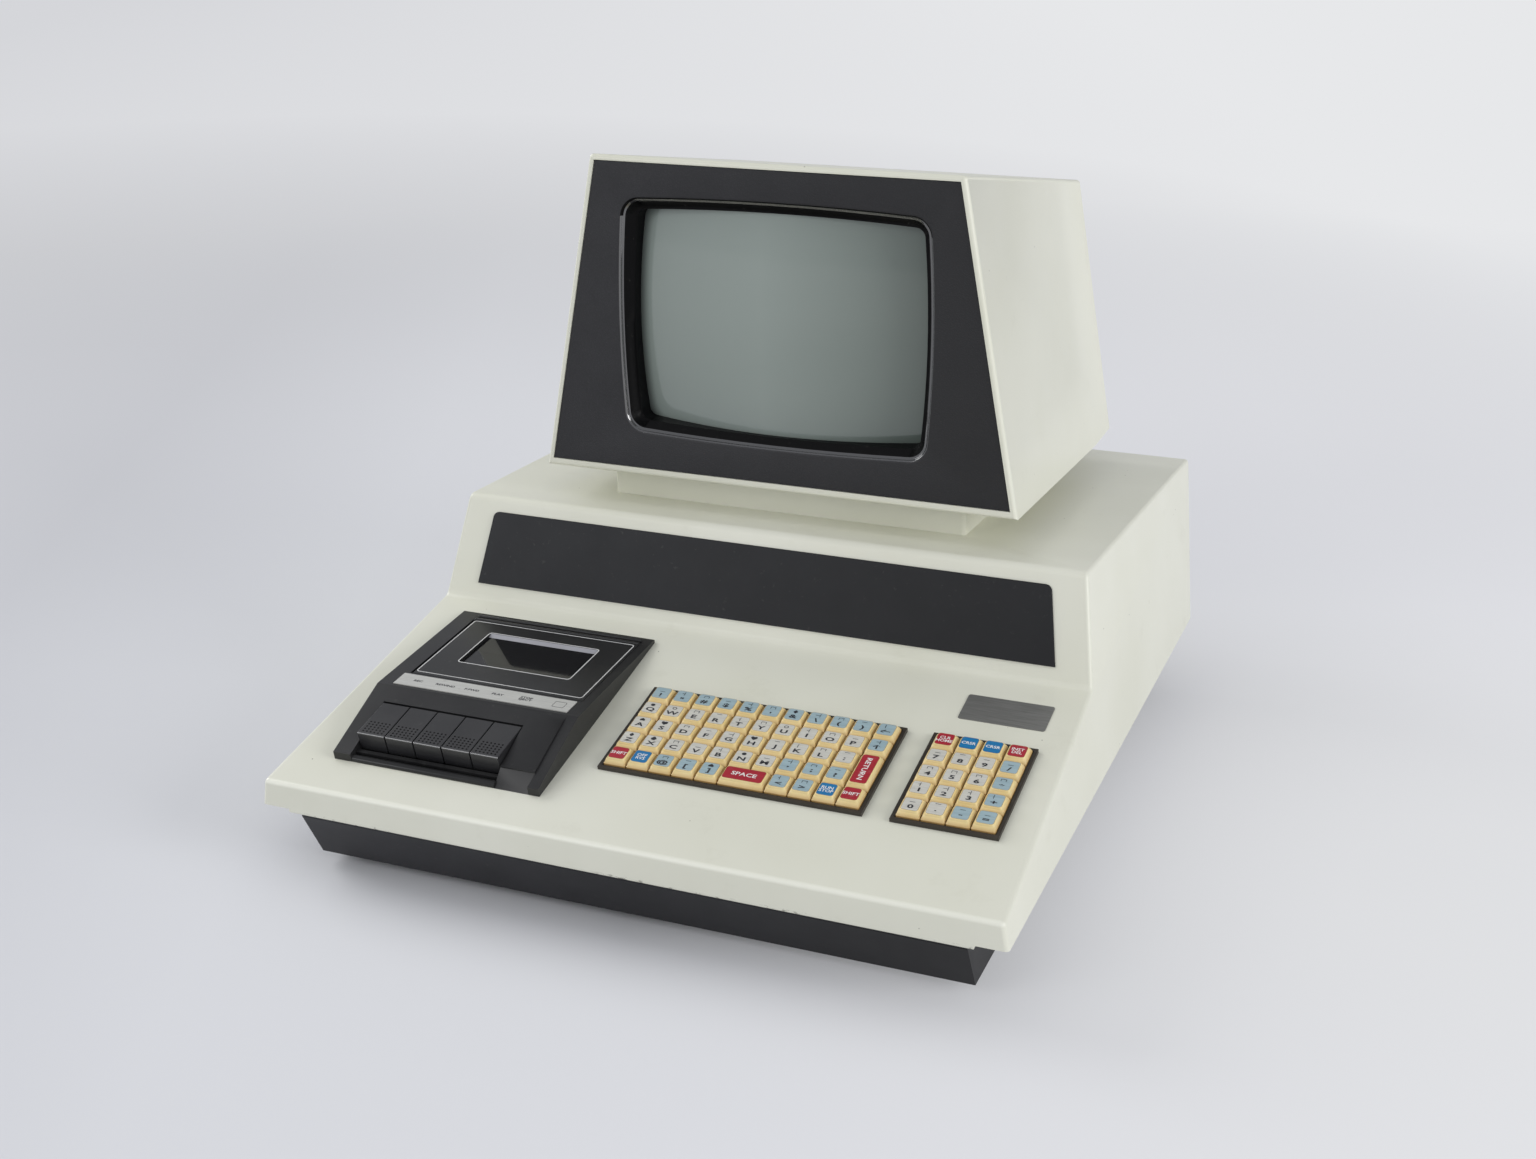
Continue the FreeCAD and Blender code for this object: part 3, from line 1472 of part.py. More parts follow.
def monitor_pedestal():
    """Collar between the housing's top and the underside of the monitor."""
    y0 = front_y + pedestal_setback
    y1 = y0 + pedestal_depth

    def deck_z(y):
        return riser_z - (y - riser_y) * top_slope

    def cabinet_z(y):
        return monitor_bottom_z - (y - monitor_y) * monitor_bend_drop / monitor_bend_run
    outer = prism([(y0, deck_z(y0)), (y0, cabinet_z(y0)), (y1, cabinet_z(y1)), (y1, deck_z(y1))],
                  -pedestal_half_width, pedestal_half_width)
    upright = round_edges(outer, outer_bend,
                          lambda middle, along: near(abs(along.z), 1))
    inner = block(-pedestal_half_width + pedestal_wall, pedestal_half_width - pedestal_wall,
                  y0 + pedestal_wall, y1 - pedestal_wall, crease_z, monitor_top_z)
    return upright.cut(inner)


# Screen bezel and picture tube, in screen coordinates: Y runs inwards from the front
def loop(half_x, half_z, depth, power):
    """Rounded outline whose sides bulge, from a formula on the angle."""
    points = []
    for i in range(loop_points):
        angle = 2 * math.pi * i / loop_points
        share_x = abs(math.cos(angle)) / half_x
        share_z = abs(math.sin(angle)) / half_z
        reach = (share_x ** power + share_z ** power) ** (-1 / power)
        points.append(V(reach * math.cos(angle), depth, reach * math.sin(angle)))
    curve = Part.BSplineCurve()
    curve.interpolate(Points=points, PeriodicFlag=True)
    return Part.Wire([curve.toShape()])


def loft(loops):
    solid = Part.makeLoft(loops, True, True)
    if solid.Volume < 0:
        solid.reverse()
    return solid


def barrel(grow, depth, drop=0):
    """Outline of the screen opening: four bowed sides joined by round corners."""
    a = screen_half_width + grow
    b = screen_half_height + grow
    corner = screen_corner + grow
    side = (b ** 2 + screen_side_bulge ** 2) / (2 * screen_side_bulge)
    top = (a ** 2 + screen_top_bulge ** 2) / (2 * screen_top_bulge)
    from_side, from_top = side - corner, top - corner
    span_x, span_z = side - a, top - b
    span = math.hypot(span_x, span_z)
    share = (from_side ** 2 - from_top ** 2 + span ** 2) / (2 * span ** 2)
    height = math.sqrt(from_side ** 2 - (share * span) ** 2) / span
    x = -span_x + share * span_x + height * span_z
    z = -share * span_z + height * span_x
    to_side = math.atan2(z, x + span_x)
    to_top = math.atan2(z + span_z, x)
    half_way = (to_side + to_top) / 2
    points = {
        "right": (a, 0), "top": (0, b),
        "low": (x + corner * math.cos(to_side), z + corner * math.sin(to_side)),
        "mid": (x + corner * math.cos(half_way), z + corner * math.sin(half_way)),
        "high": (x + corner * math.cos(to_top), z + corner * math.sin(to_top)),
    }

    def at(name, sx, sz):
        return V(sx * points[name][0], depth, sz * points[name][1] - drop)
    edges = [Part.Arc(at("low", 1, -1), at("right", 1, 1), at("low", 1, 1)),
             Part.Arc(at("low", 1, 1), at("mid", 1, 1), at("high", 1, 1)),
             Part.Arc(at("high", 1, 1), at("top", 1, 1), at("high", -1, 1)),
             Part.Arc(at("high", -1, 1), at("mid", -1, 1), at("low", -1, 1)),
             Part.Arc(at("low", -1, 1), at("right", -1, 1), at("low", -1, -1)),
             Part.Arc(at("low", -1, -1), at("mid", -1, -1), at("high", -1, -1)),
             Part.Arc(at("high", -1, -1), at("top", 1, -1), at("high", 1, -1)),
             Part.Arc(at("high", 1, -1), at("mid", 1, -1), at("low", 1, -1))]
    return Part.Wire([edge.toShape() for edge in edges])


def hood_room(grow, front, rear):
    """Stepped space that narrows from the bezel's lip to the glass."""
    step = hood_step_depth + grow
    first = loft([barrel(grow, front), barrel(grow - hood_step, step)])
    inner = grow - hood_step - hood_ledge
    second = loft([barrel(inner, step - seat_gap, hood_drop),
                   barrel(inner - hood_taper, rear, hood_drop)])
    return first.fuse(second)


def rolled_lip():
    """Space that rounds the opening's edge, from the bezel's face inwards."""
    steps = []
    for i in range(lip_steps + 1):
        turn = math.radians(90 * i / lip_steps)
        steps.append((screen_lip * (1 - math.sin(turn)), screen_lip * (1 - math.cos(turn))))
    shape = loft([barrel(screen_lip, bezel_recess - overrun), barrel(screen_lip, bezel_recess)])
    for (wide, near_depth), (narrow, far_depth) in zip(steps, steps[1:]):
        shape = shape.fuse(loft([barrel(wide, bezel_recess + near_depth),
                                 barrel(narrow, bezel_recess + far_depth)]))
    return shape


def boss_places():
    x = glass_half_width - ear_inset
    z = glass_half_height - ear_inset
    return [(sx * x, sz * z) for sx in (-1, 1) for sz in (-1, 1)]


def monitor_bezel():
    """Black front panel with the stepped hood round the screen and four bosses."""
    room = monitor_room(bezel_recess, rim_top + seat_gap, 0, rim_bottom + seat_gap,
                        rim_side + seat_gap)
    profile = monitor_profile()
    slab = plate_in_cabinet(profile[0], profile[1], bezel_recess, bezel_recess + bezel_thickness)
    plate = room.common(slab)
    hood = hood_room(hood_wall, bezel_recess + seat_gap, hood_depth)
    plate = plate.fuse(on_screen(hood.cut(glass_dome(-seat_gap))))
    for x, z in boss_places():
        boss = cylinder(boss_radius, V(x, bezel_recess + bezel_thickness / 2, z),
                        V(x, band_depth, z))
        plate = plate.fuse(on_screen(boss))
    inside = hood_room(0, bezel_recess - seat_gap, hood_depth + overrun)
    return plate.cut(on_screen(inside)).cut(on_screen(rolled_lip())).removeSplitter()


def glass_dome(wall):
    return Part.makeSphere(glass_radius - wall, V(0, glass_apex + glass_radius, 0))


def tube_body(wall):
    """Bulb of the tube moved in by a wall: domed face, skirt, funnel and neck."""
    a = glass_half_width - wall
    b = glass_half_height - wall
    neck = neck_radius - wall * neck_wall_share
    funnel_end = glass_skirt + funnel_length
    bulb = loft([loop(a, b, 0, glass_power), loop(a, b, glass_skirt - wall, glass_power),
                 loop(a * funnel_share, b * funnel_share, glass_skirt + funnel_length / 2,
                      funnel_power),
                 loop(neck, neck, funnel_end, round_power),
                 loop(neck, neck, funnel_end + neck_length - wall, round_power)])
    return bulb.common(glass_dome(wall))


def picture_tube():
    bulb = tube_body(0)
    return on_screen(bulb.cut(tube_body(glass_wall)).removeSplitter())


def tube_band():
    """Steel band round the skirt with an ear at each corner, on the bezel's bosses."""
    a = glass_half_width + fit_gap
    b = glass_half_height + fit_gap
    low, high = band_depth, band_depth + band_width
    outer = loft([loop(a + band_thickness, b + band_thickness, low, glass_power),
                  loop(a + band_thickness, b + band_thickness, high, glass_power)])
    for x, z in boss_places():
        half = ear_size / 2
        outer = outer.fuse(block(x - half, x + half, low, low + band_thickness,
                                 z - half, z + half))
    inner = loft([loop(a, b, low - overrun, glass_power), loop(a, b, high + overrun, glass_power)])
    return on_screen(outer.cut(inner).removeSplitter())


def deflection_yoke():
    start = glass_skirt + funnel_length + seat_gap
    core = cylinder(yoke_radius, V(0, start, 0), V(0, start + yoke_length, 0))
    flange = cylinder(yoke_radius + yoke_flange, V(0, start, 0), V(0, start + yoke_flange, 0))
    bore = cylinder(neck_radius + slip_gap, V(0, start - overrun, 0),
                    V(0, start + yoke_length + overrun, 0))
    return on_screen(core.fuse(flange).cut(bore).removeSplitter())


# Monitor electronics
def mon_board_frame(shape):
    """Carry a shape to the cabinet's floor, where it lies parallel to it."""
    tilt = -math.degrees(math.atan2(monitor_bend_drop, monitor_bend_run))
    return placed(shape, monitor_y, monitor_bottom_z, tilt)


def monitor_board():
    low = monitor_wall + mon_board_lift
    half = mon_board_width / 2
    y0 = mon_board_setback
    y1 = y0 + mon_board_length
    board = block(-half, half, y0, y1, low, low + board_thickness)
    for x in (-half + mon_post_inset, half - mon_post_inset):
        for y in (y0 + mon_post_inset, y1 - mon_post_inset):
            board = board.fuse(cylinder(standoff_radius, V(x, y, monitor_wall), V(x, y, low)))
    return mon_board_frame(board.removeSplitter())


def flyback_transformer():
    low = monitor_wall + mon_board_lift + board_thickness
    x0 = mon_board_width / 2 - flyback_width - flyback_inset
    y1 = mon_board_setback + mon_board_length - flyback_inset
    y0 = y1 - flyback_length
    core = block(x0, x0 + flyback_width, y0, y1, low, low + flyback_height)
    side = flyback_width * flyback_opening_share
    end = flyback_height * flyback_opening_share
    opening = block(x0 + side, x0 + flyback_width - side, y0 - overrun, y1 + overrun,
                    low + end, low + flyback_height - end)
    return mon_board_frame(core.cut(opening))


# Build and write every piece
def nodes():
    pieces = {
        "base_pan": base_pan(), "rubber_feet": rubber_feet(), "main_board": main_board(),
        "logic_chips": logic_chips(), "transformer": transformer(),
        "smoothing_capacitor": smoothing_capacitor(), "power_switch": power_switch(),
        "switch_rocker": switch_rocker(), "mains_gland": mains_gland(),
        "fuse_holder": fuse_holder(), "base_hinges": base_hinges(), "prop_rod": prop_rod(),
        "top_housing": top_housing(), "housing_hinges": housing_hinges(),
        "name_panel": name_panel(), "deck_label": deck_label(),
        "monitor_pedestal": monitor_pedestal(), "monitor_shell": monitor_shell(),
        "monitor_back": monitor_back(), "monitor_bezel": monitor_bezel(),
        "picture_tube": picture_tube(), "tube_band": tube_band(),
        "deflection_yoke": deflection_yoke(), "monitor_board": monitor_board(),
        "flyback_transformer": flyback_transformer(), "brightness_knob": brightness_knob(),
        "case_screws": case_screws(),
        "keyboard_surround": surround(keyboard_centre_x, key_columns),
        "keypad_surround": surround(keypad_centre_x, pad_columns),
        "keyboard_board": keyboard_board(), "space_key": space_key(),
        "return_key": return_key(), "tape_housing": tape_housing(), "tape_door": tape_door(),
        "tape_window": tape_window(), "tape_label_strip": tape_label_strip(),
        "tape_key_axle": tape_key_axle(), "tape_chassis": tape_chassis(),
        "tape_motor": tape_motor(), "motor_pulley": motor_pulley(), "flywheel": flywheel(),
        "drive_belt": drive_belt(), "supply_spindle": spindle(-1), "takeup_spindle": spindle(1),
        "tape_head": tape_head(), "pinch_roller": pinch_roller(),
    }
    for row in range(key_rows):
        pieces["key_row_%d" % (row + 1)] = key_row(row)
    for column in range(pad_columns):
        pieces["keypad_column_%d" % (column + 1)] = keypad_column(column)
    for index, name in enumerate(("record", "rewind", "forward", "play", "stop")):
        pieces[name + "_key"] = tape_key(index)
    return pieces


def main():
    os.makedirs("parts", exist_ok=True)
    for name, shape in nodes().items():
        bounds = shape.BoundBox
        print("%-20s solids %3d valid %s volume %9.1f x %.1f %.1f y %.1f %.1f z %.1f %.1f" % (
            name, len(shape.Solids), shape.isValid(), shape.Volume, bounds.XMin, bounds.XMax,
            bounds.YMin, bounds.YMax, bounds.ZMin, bounds.ZMax))
        shape.exportStep("parts/%s.step" % name)
    length, lift = prop_reach()
    print("prop rod length %.2f lift %.2f degrees" % (length, lift))
    print("deck tilt %.3f tape tilt %.3f" % (deck_tilt, deck_tilt - tape_tilt))


main()
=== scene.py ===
"""Looks of an all-in-one home computer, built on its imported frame.

Metres, in the row frame: X to the right, Y to the rear, Z up.
Places on the deck, on the tape door and on the screen are given in those parts' own
directions and carried over by a placement matrix.
"""
import json
import math
import random
import bmesh
import bpy
from mathutils import Matrix, Vector


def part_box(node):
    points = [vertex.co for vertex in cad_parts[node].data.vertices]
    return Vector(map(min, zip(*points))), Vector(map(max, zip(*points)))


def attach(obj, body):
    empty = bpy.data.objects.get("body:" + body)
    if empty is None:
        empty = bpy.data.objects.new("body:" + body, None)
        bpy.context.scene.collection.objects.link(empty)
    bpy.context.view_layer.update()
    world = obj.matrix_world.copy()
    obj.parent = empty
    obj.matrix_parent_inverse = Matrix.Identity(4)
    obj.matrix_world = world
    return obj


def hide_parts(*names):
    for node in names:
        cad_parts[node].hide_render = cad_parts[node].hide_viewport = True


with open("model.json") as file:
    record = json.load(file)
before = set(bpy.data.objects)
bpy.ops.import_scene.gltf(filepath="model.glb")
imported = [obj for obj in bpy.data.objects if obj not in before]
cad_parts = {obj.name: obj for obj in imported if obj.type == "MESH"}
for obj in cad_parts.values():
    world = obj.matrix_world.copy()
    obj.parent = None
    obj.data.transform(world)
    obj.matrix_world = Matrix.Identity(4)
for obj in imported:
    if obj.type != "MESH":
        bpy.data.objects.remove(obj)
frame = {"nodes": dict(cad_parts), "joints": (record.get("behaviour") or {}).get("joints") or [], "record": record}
nodes = frame["nodes"]
joints = {joint["name"]: joint for joint in frame["joints"]}
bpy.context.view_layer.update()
mm = 0.001
weld = 0.002 * mm

# View of the photograph
camera_place = (0.42138, -1.02994, 0.56302)
camera_yaw = 22.600
camera_pitch = 22.004
camera_roll = -0.985
camera_lens = 47.488
sensor_width = 36.0

# Places that the frame doesn't state
apron_top = 57 * mm
apron_low = 39.8 * mm
tape_crest_s = 78 * mm
tape_crest_h = 15.5 * mm
tape_left = -178.5 * mm
screen_height = 267 * mm
screen_lean = math.radians(-1.8664)
screen_depth = 3.105 * mm

# Keys
key_pitch_x = 13.12 * mm
key_pitch_s = 13.95 * mm
key_gap = 0.5 * mm
key_front_s = 56.6 * mm
key_rim = 2.2 * mm
keyboard_centre = 41.65 * mm
keypad_centre = 159.25 * mm
main_columns = 11
pad_columns = 4
key_rows = 5

# Tape door and keys
door_left_gap = 11.2 * mm
door_right_gap = 5.5 * mm
door_start = 16.5 * mm
door_length = 75.5 * mm
tape_width = 126 * mm
window_width = 70.6 * mm
window_length = 37.6 * mm
window_start = 20.9 * mm
window_offset = 19.2 * mm
tape_key_pitch = 17.54 * mm
tape_key_gap = 0.6 * mm
tape_key_names = ("record_key", "rewind_key", "forward_key", "play_key", "stop_key")
key_front_edge_s = 36.5 * mm
key_back_edge_s = 65.3 * mm
tape_key_top = 13.1 * mm
tape_key_low = 1.5 * mm
tape_key_nose = 0.7 * mm
arm_half = 4 * mm
arm_low = 1.6 * mm
arm_high = 7.2 * mm
arm_end_s = 73 * mm
grip_dot = (0.66 * mm, 0.66 * mm, 0.2 * mm)
strip_width = 109 * mm
strip_top = 0.52 * mm
strip_middle_t = 8.25 * mm

# Parts of the boards
leg_pitch = 2.54 * mm
leg_spread = 0.5 * mm
leg_thick, leg_wide, leg_tall = 0.5 * mm, 0.9 * mm, 2.4 * mm
card_edges = ((-140 * mm, 62 * mm), (-58 * mm, 62 * mm), (24 * mm, 30 * mm))
finger_pitch = 3.96 * mm
finger_size = (2.6 * mm, 8.5 * mm, 0.12 * mm)
resistor = ((0.3 * mm, -4.5 * mm), (0.3 * mm, -3.2 * mm), (1.1 * mm, -3 * mm), (0.95 * mm, 0),
            (1.1 * mm, 3 * mm), (0.3 * mm, 3.2 * mm), (0.3 * mm, 4.5 * mm))
turns = [2 * math.pi * i / 10 for i in range(10)]
coil_half_x = 23.2 * mm
core_half_y = 22.2 * mm


def srgb(red, green, blue):
    """Screen colour from 0 to 255, as linear light."""
    def linear(value):
        value = value / 255
        return value / 12.92 if value <= 0.04045 else ((value + 0.055) / 1.055) ** 2.4
    return linear(red), linear(green), linear(blue), 1.0


# Placements
def placement(origin, up, side=Vector((1, 0, 0))):
    """Matrix whose axes are side, the direction up the slope, and the normal."""
    up = Vector(up).normalized()
    along = up.cross(side).normalized()
    matrix = Matrix((side, along, up)).transposed().to_4x4()
    matrix.translation = Vector(origin)
    return matrix


front_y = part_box("top_housing")[0].y
deck = placement((0, front_y, apron_top), -Vector(joints["key_row_1_press"]["axis"]))
tape = placement(deck @ Vector((0, tape_crest_s, tape_crest_h)),
                 joints["flywheel_spin"]["axis"])
door_left = tape_left + door_left_gap
door_right = tape_left + tape_width - door_right_gap
monitor_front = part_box("monitor_shell")[0].y
screen = Matrix.Translation((0, monitor_front + screen_depth, screen_height))
screen = screen @ Matrix.Rotation(screen_lean, 4, "X")


# Materials
class Finish:
    """A material in the making, with its pattern in object coordinates."""

    def __init__(self, name):
        self.material = bpy.data.materials.new(name)
        self.material.use_nodes = True
        self.tree = self.material.node_tree
        self.shader = self.tree.nodes["Principled BSDF"]
        self.place = self.add("TexCoord").outputs["Object"]
        self.normal = None

    def wire(self, socket, value):
        if isinstance(value, bpy.types.NodeSocket):
            self.tree.links.new(value, socket)
        else:
            socket.default_value = value

    def set(self, **values):
        for name, value in values.items():
            self.wire(self.shader.inputs[name.replace("_", " ")], value)

    def add(self, kind, inputs=None, **settings):
        """New node with its settings, and its inputs by name or number."""
        node = self.tree.nodes.new("ShaderNode" + kind)
        for name, value in settings.items():
            setattr(node, name, value)
        for name, value in (inputs or {}).items():
            self.wire(node.inputs[name], value)
        return node

    def axis(self, name):
        return self.add("SeparateXYZ", {0: self.place}).outputs[name]

    def apart(self, place, operation="DISTANCE"):
        """Distance from a place, or with DOT_PRODUCT the reach along a direction."""
        return self.add("VectorMath", {0: self.place, 1: place}, operation=operation).outputs["Value"]

    def math(self, operation, first, second=0.0):
        return self.add("Math", {0: first, 1: second}, operation=operation).outputs[0]

    def times(self, first, second):
        return self.math("MULTIPLY", first, second)

    def mapped(self, stretch, turn=(0, 0, 0)):
        inputs = {"Vector": self.place, "Scale": stretch, "Rotation": turn}
        return self.add("Mapping", inputs).outputs[0]

    def noise(self, scale, detail=2.0, rough=0.5, stretch=(1, 1, 1), turn=(0, 0, 0)):
        inputs = {"Vector": self.mapped(stretch, turn), "Scale": scale, "Detail": detail,
                  "Roughness": rough}
        return self.add("TexNoise", inputs).outputs["Fac"]

    def cells(self, scale, feature="F1", stretch=(1, 1, 1), wobble=0.0):
        vector = self.mapped(stretch)
        if wobble:
            spread = self.add("TexNoise", {"Vector": self.place, "Scale": scale / 2})
            inputs = {0: spread.outputs["Color"], 1: (wobble / scale,) * 3, 2: vector}
            vector = self.add("VectorMath", inputs, operation="MULTIPLY_ADD").outputs[0]
        return self.add("TexVoronoi", {"Vector": vector, "Scale": scale}, feature=feature)

    def between(self, value, low, high):
        """Share of the way that a value has gone from low to high."""
        inputs = {"Value": value, "From Min": low, "From Max": high}
        return self.add("MapRange", inputs).outputs["Result"]

    def span(self, share, low, high):
        """Number between low and high by a share."""
        inputs = {"Value": share, "To Min": low, "To Max": high}
        return self.add("MapRange", inputs).outputs["Result"]

    def cloud(self, low, high, *pattern):
        """Noise of a pattern, spread between two of its levels."""
        return self.between(self.noise(*pattern), low, high)

    def blend(self, share, first, second):
        return self.add("Mix", {0: share, 6: first, 7: second}, data_type="RGBA").outputs[2]

    def two_tone(self, share, first, second):
        return self.blend(share, srgb(*first), srgb(*second))

    def tint(self, colour, where, amount, over):
        """Lay a screen colour over a colour, by where it lies and how strongly."""
        return self.blend(self.times(where, amount), colour, srgb(*over))

    def bump(self, height, depth, strength=1.0):
        inputs = {"Strength": strength, "Distance": depth, "Height": height}
        if self.normal:
            inputs["Normal"] = self.normal
        self.normal = self.add("Bump", inputs).outputs[0]
        self.set(Normal=self.normal)


def cream_paint(finish, body, shade, case):
    """Thick satin paint with a faint orange peel; on the case its low front edge is worn, and a painted highlight
    runs along the crest of its apron.
    """
    colour = finish.two_tone(finish.cloud(0.35, 0.7, 9, 3), body, shade)
    colour = finish.tint(colour, finish.cloud(0.60, 0.86, 38, 6, 0.65), 0.22, (176, 172, 150))
    cell = finish.cells(90).outputs
    spot = finish.between(cell["Distance"], 0.045, 0.027)
    pick = finish.add("SeparateColor", {0: cell["Color"]}).outputs["Red"]
    spot = finish.times(spot, finish.math("GREATER_THAN", pick, 0.7))
    colour = finish.tint(colour, spot, 0.75, (92, 84, 70))
    scratch = finish.cloud(0.735, 0.76, 60, 4, 0.6, (0.12, 1.6, 1.0), (0.3, 0.2, 0.5))
    colour = finish.tint(colour, scratch, 0.3, (168, 162, 140))
    if case:
        low = finish.between(finish.axis("Z"), apron_low + 2 * mm, apron_low)
        front = finish.between(finish.axis("Y"), front_y + 9 * mm, front_y + 2 * mm)
        ragged = finish.cloud(0.55, 0.60, 380, 6, 0.7, (0.5, 1, 1))
        long_gaps = finish.cloud(0.50, 0.60, 14, 2, 0.5, (1, 0.2, 0.2))
        worn = finish.times(finish.times(finish.times(low, front), ragged), long_gaps)
        colour = finish.tint(colour, worn, 0.9, (62, 58, 50))
        finish.bump(worn, 0.05 * mm, 0.5)
        # Painted highlight: a thin lighter line along the crest where the deck meets the apron.
        front = finish.between(finish.axis("Y"), front_y + 2.4 * mm, front_y + 0.9 * mm)
        crest_highlight = finish.between(finish.axis("Z"), apron_top - 2.6 * mm, apron_top - 1.2 * mm)
        colour = finish.tint(colour, finish.times(front, crest_highlight), 0.55, (242, 242, 230))
    finish.set(Base_Color=colour, Specular_IOR_Level=0.45)
    finish.set(Roughness=finish.span(finish.noise(55, 3), 0.27, 0.36))
    finish.bump(finish.noise(780, 2), 0.05 * mm, 0.25)
    finish.bump(finish.noise(20, 2), 0.5 * mm, 0.10)


def dark_paint(finish, body, light, grain, rough=(0.42, 0.55), depth=0.05, shine=0.5, shade_right=0.0,
               gloss=0.0):
    """Fine grained paint or plastic, rubbed; painted shade darkens it to the right by the given amount; coated by
    gloss.
    """
    colour = finish.two_tone(finish.cloud(0.35, 0.75, 24, 5, 0.6), body, light)
    colour = finish.tint(colour, finish.cloud(0.62, 0.80, 260, 5, 0.7), 0.16, (140, 138, 132))
    scuff = finish.cloud(0.72, 0.75, 80, 4, 0.6, (0.1, 1.3, 1.0), (0.2, 0.4, 0.8))
    colour = finish.tint(colour, scuff, 0.25, (120, 118, 114))
    # Painted shade: darker towards the right.
    if shade_right:
        side = finish.between(finish.axis("X"), -140 * mm, 180 * mm)
        colour = finish.tint(colour, side, shade_right, (16, 16, 18))
    finish.set(Base_Color=colour, Roughness=finish.span(finish.noise(40, 3), *rough))
    finish.set(Specular_IOR_Level=shine)
    if gloss:
        finish.set(Coat_Weight=1.0, Coat_IOR=gloss, Coat_Roughness=0.12)
    finish.bump(finish.noise(grain, 3, 0.6), depth * mm, 0.5)


def leather_grain(finish):
    """Charcoal plastic with the pebbled grain of moulded leather, with painted shade that darkens it to the right.
    """
    grain = finish.cells(720, "DISTANCE_TO_EDGE", wobble=0.9).outputs["Distance"]
    pebble = finish.between(grain, 0.0, 0.28)
    colour = finish.two_tone(finish.cloud(0.3, 0.75, 30, 4, 0.6), (36, 36, 39), (46, 46, 49))
    colour = finish.blend(finish.span(pebble, 0.35, 0.0), colour, srgb(22, 22, 24))
    # Painted shade: darker towards the right.
    side = finish.between(finish.axis("X"), -90 * mm, 120 * mm)
    colour = finish.tint(colour, side, 0.6, (20, 20, 22))
    finish.set(Base_Color=colour, Specular_IOR_Level=0.42)
    finish.set(Roughness=finish.span(finish.noise(60, 3), 0.46, 0.58))
    finish.bump(pebble, 0.10 * mm, 0.55)
    finish.bump(finish.noise(1500, 2), 0.03 * mm, 0.3)


def key_plastic(finish):
    """Aged cream key moulding, with painted shade that deepens its colour towards its foot, between the keys."""
    colour = finish.two_tone(finish.cloud(0.35, 0.7, 70, 3), (234, 213, 157), (226, 203, 142))
    # Painted shade: the colour deepens below 4.5 mm over the deck, towards the foot of each key.
    up = deck.to_3x3().col[2]
    height = finish.math("SUBTRACT", finish.apart(up, "DOT_PRODUCT"), up.dot(deck.translation))
    foot_shade = finish.between(height, 4.5 * mm, 2.2 * mm)
    colour = finish.tint(colour, foot_shade, 0.9, (176, 134, 74))
    colour = finish.tint(colour, finish.cloud(0.56, 0.80, 420, 5, 0.7), 0.22, (170, 138, 84))
    finish.set(Base_Color=colour, Subsurface_Weight=0.05, Specular_IOR_Level=0.5)
    finish.set(Subsurface_Radius=(2 * mm, 1.2 * mm, 0.6 * mm))
    finish.set(Roughness=finish.span(finish.noise(90, 2), 0.34, 0.46))
    finish.bump(finish.noise(900, 3), 0.04 * mm, 0.25)


# Pattern, its levels, the wear, how strong it is and its colour, and the relief
metal_looks = {
    "plate": ((900, 3, 0.6, (0.06, 1, 1)), (0.3, 0.7), (0.58, 0.78, 200, 4, 0.7), 0.25,
              (150, 150, 142), 0.01 * mm, 0.3),
    "foil": ((1200, 3, 0.6, (0.05, 1, 1)), (0.3, 0.7), (0.60, 0.78, 160, 5, 0.7), 0.35,
             (96, 94, 90), 0.02 * mm, 0.4),
    "steel": ((140, 5, 0.7), (0.35, 0.7), (0.62, 0.82, 60, 6, 0.75), 0.4,
              (120, 108, 90), 0.02 * mm, 0.4),
}


def metal(finish, look, body, light, metallic=0.9, rough=(0.28, 0.45)):
    """Printed plate, brushed foil or cloudy steel: one pattern drives its tone and its gloss."""
    pattern, levels, wear, amount, over, depth, strength = metal_looks[look]
    cloud = finish.noise(*pattern)
    colour = finish.two_tone(finish.between(cloud, *levels), body, light)
    colour = finish.tint(colour, finish.cloud(*wear), amount, over)
    finish.set(Base_Color=colour, Metallic=metallic, Roughness=finish.span(cloud, *rough))
    finish.bump(finish.noise(1400, 2) if look == "steel" else cloud, depth, strength)


def ink(finish, colour, rough=0.5):
    bright = srgb(*colour)
    darker = tuple(channel * 0.8 for channel in bright[:3]) + (1.0,)
    tone = finish.cloud(0.3, 0.8, 900, 3, 0.6)
    finish.set(Base_Color=finish.blend(tone, bright, darker), Roughness=rough)
    finish.bump(finish.noise(2000, 2), 0.01 * mm, 0.3)


def matt(finish, tone, body, light, rough, grain, depth, strength):
    """Dull coat or rubber: a cloudy tone over a fine grain."""
    finish.set(Base_Color=finish.two_tone(finish.cloud(*tone), body, light), Roughness=rough)
    finish.bump(finish.noise(*grain), depth, strength)


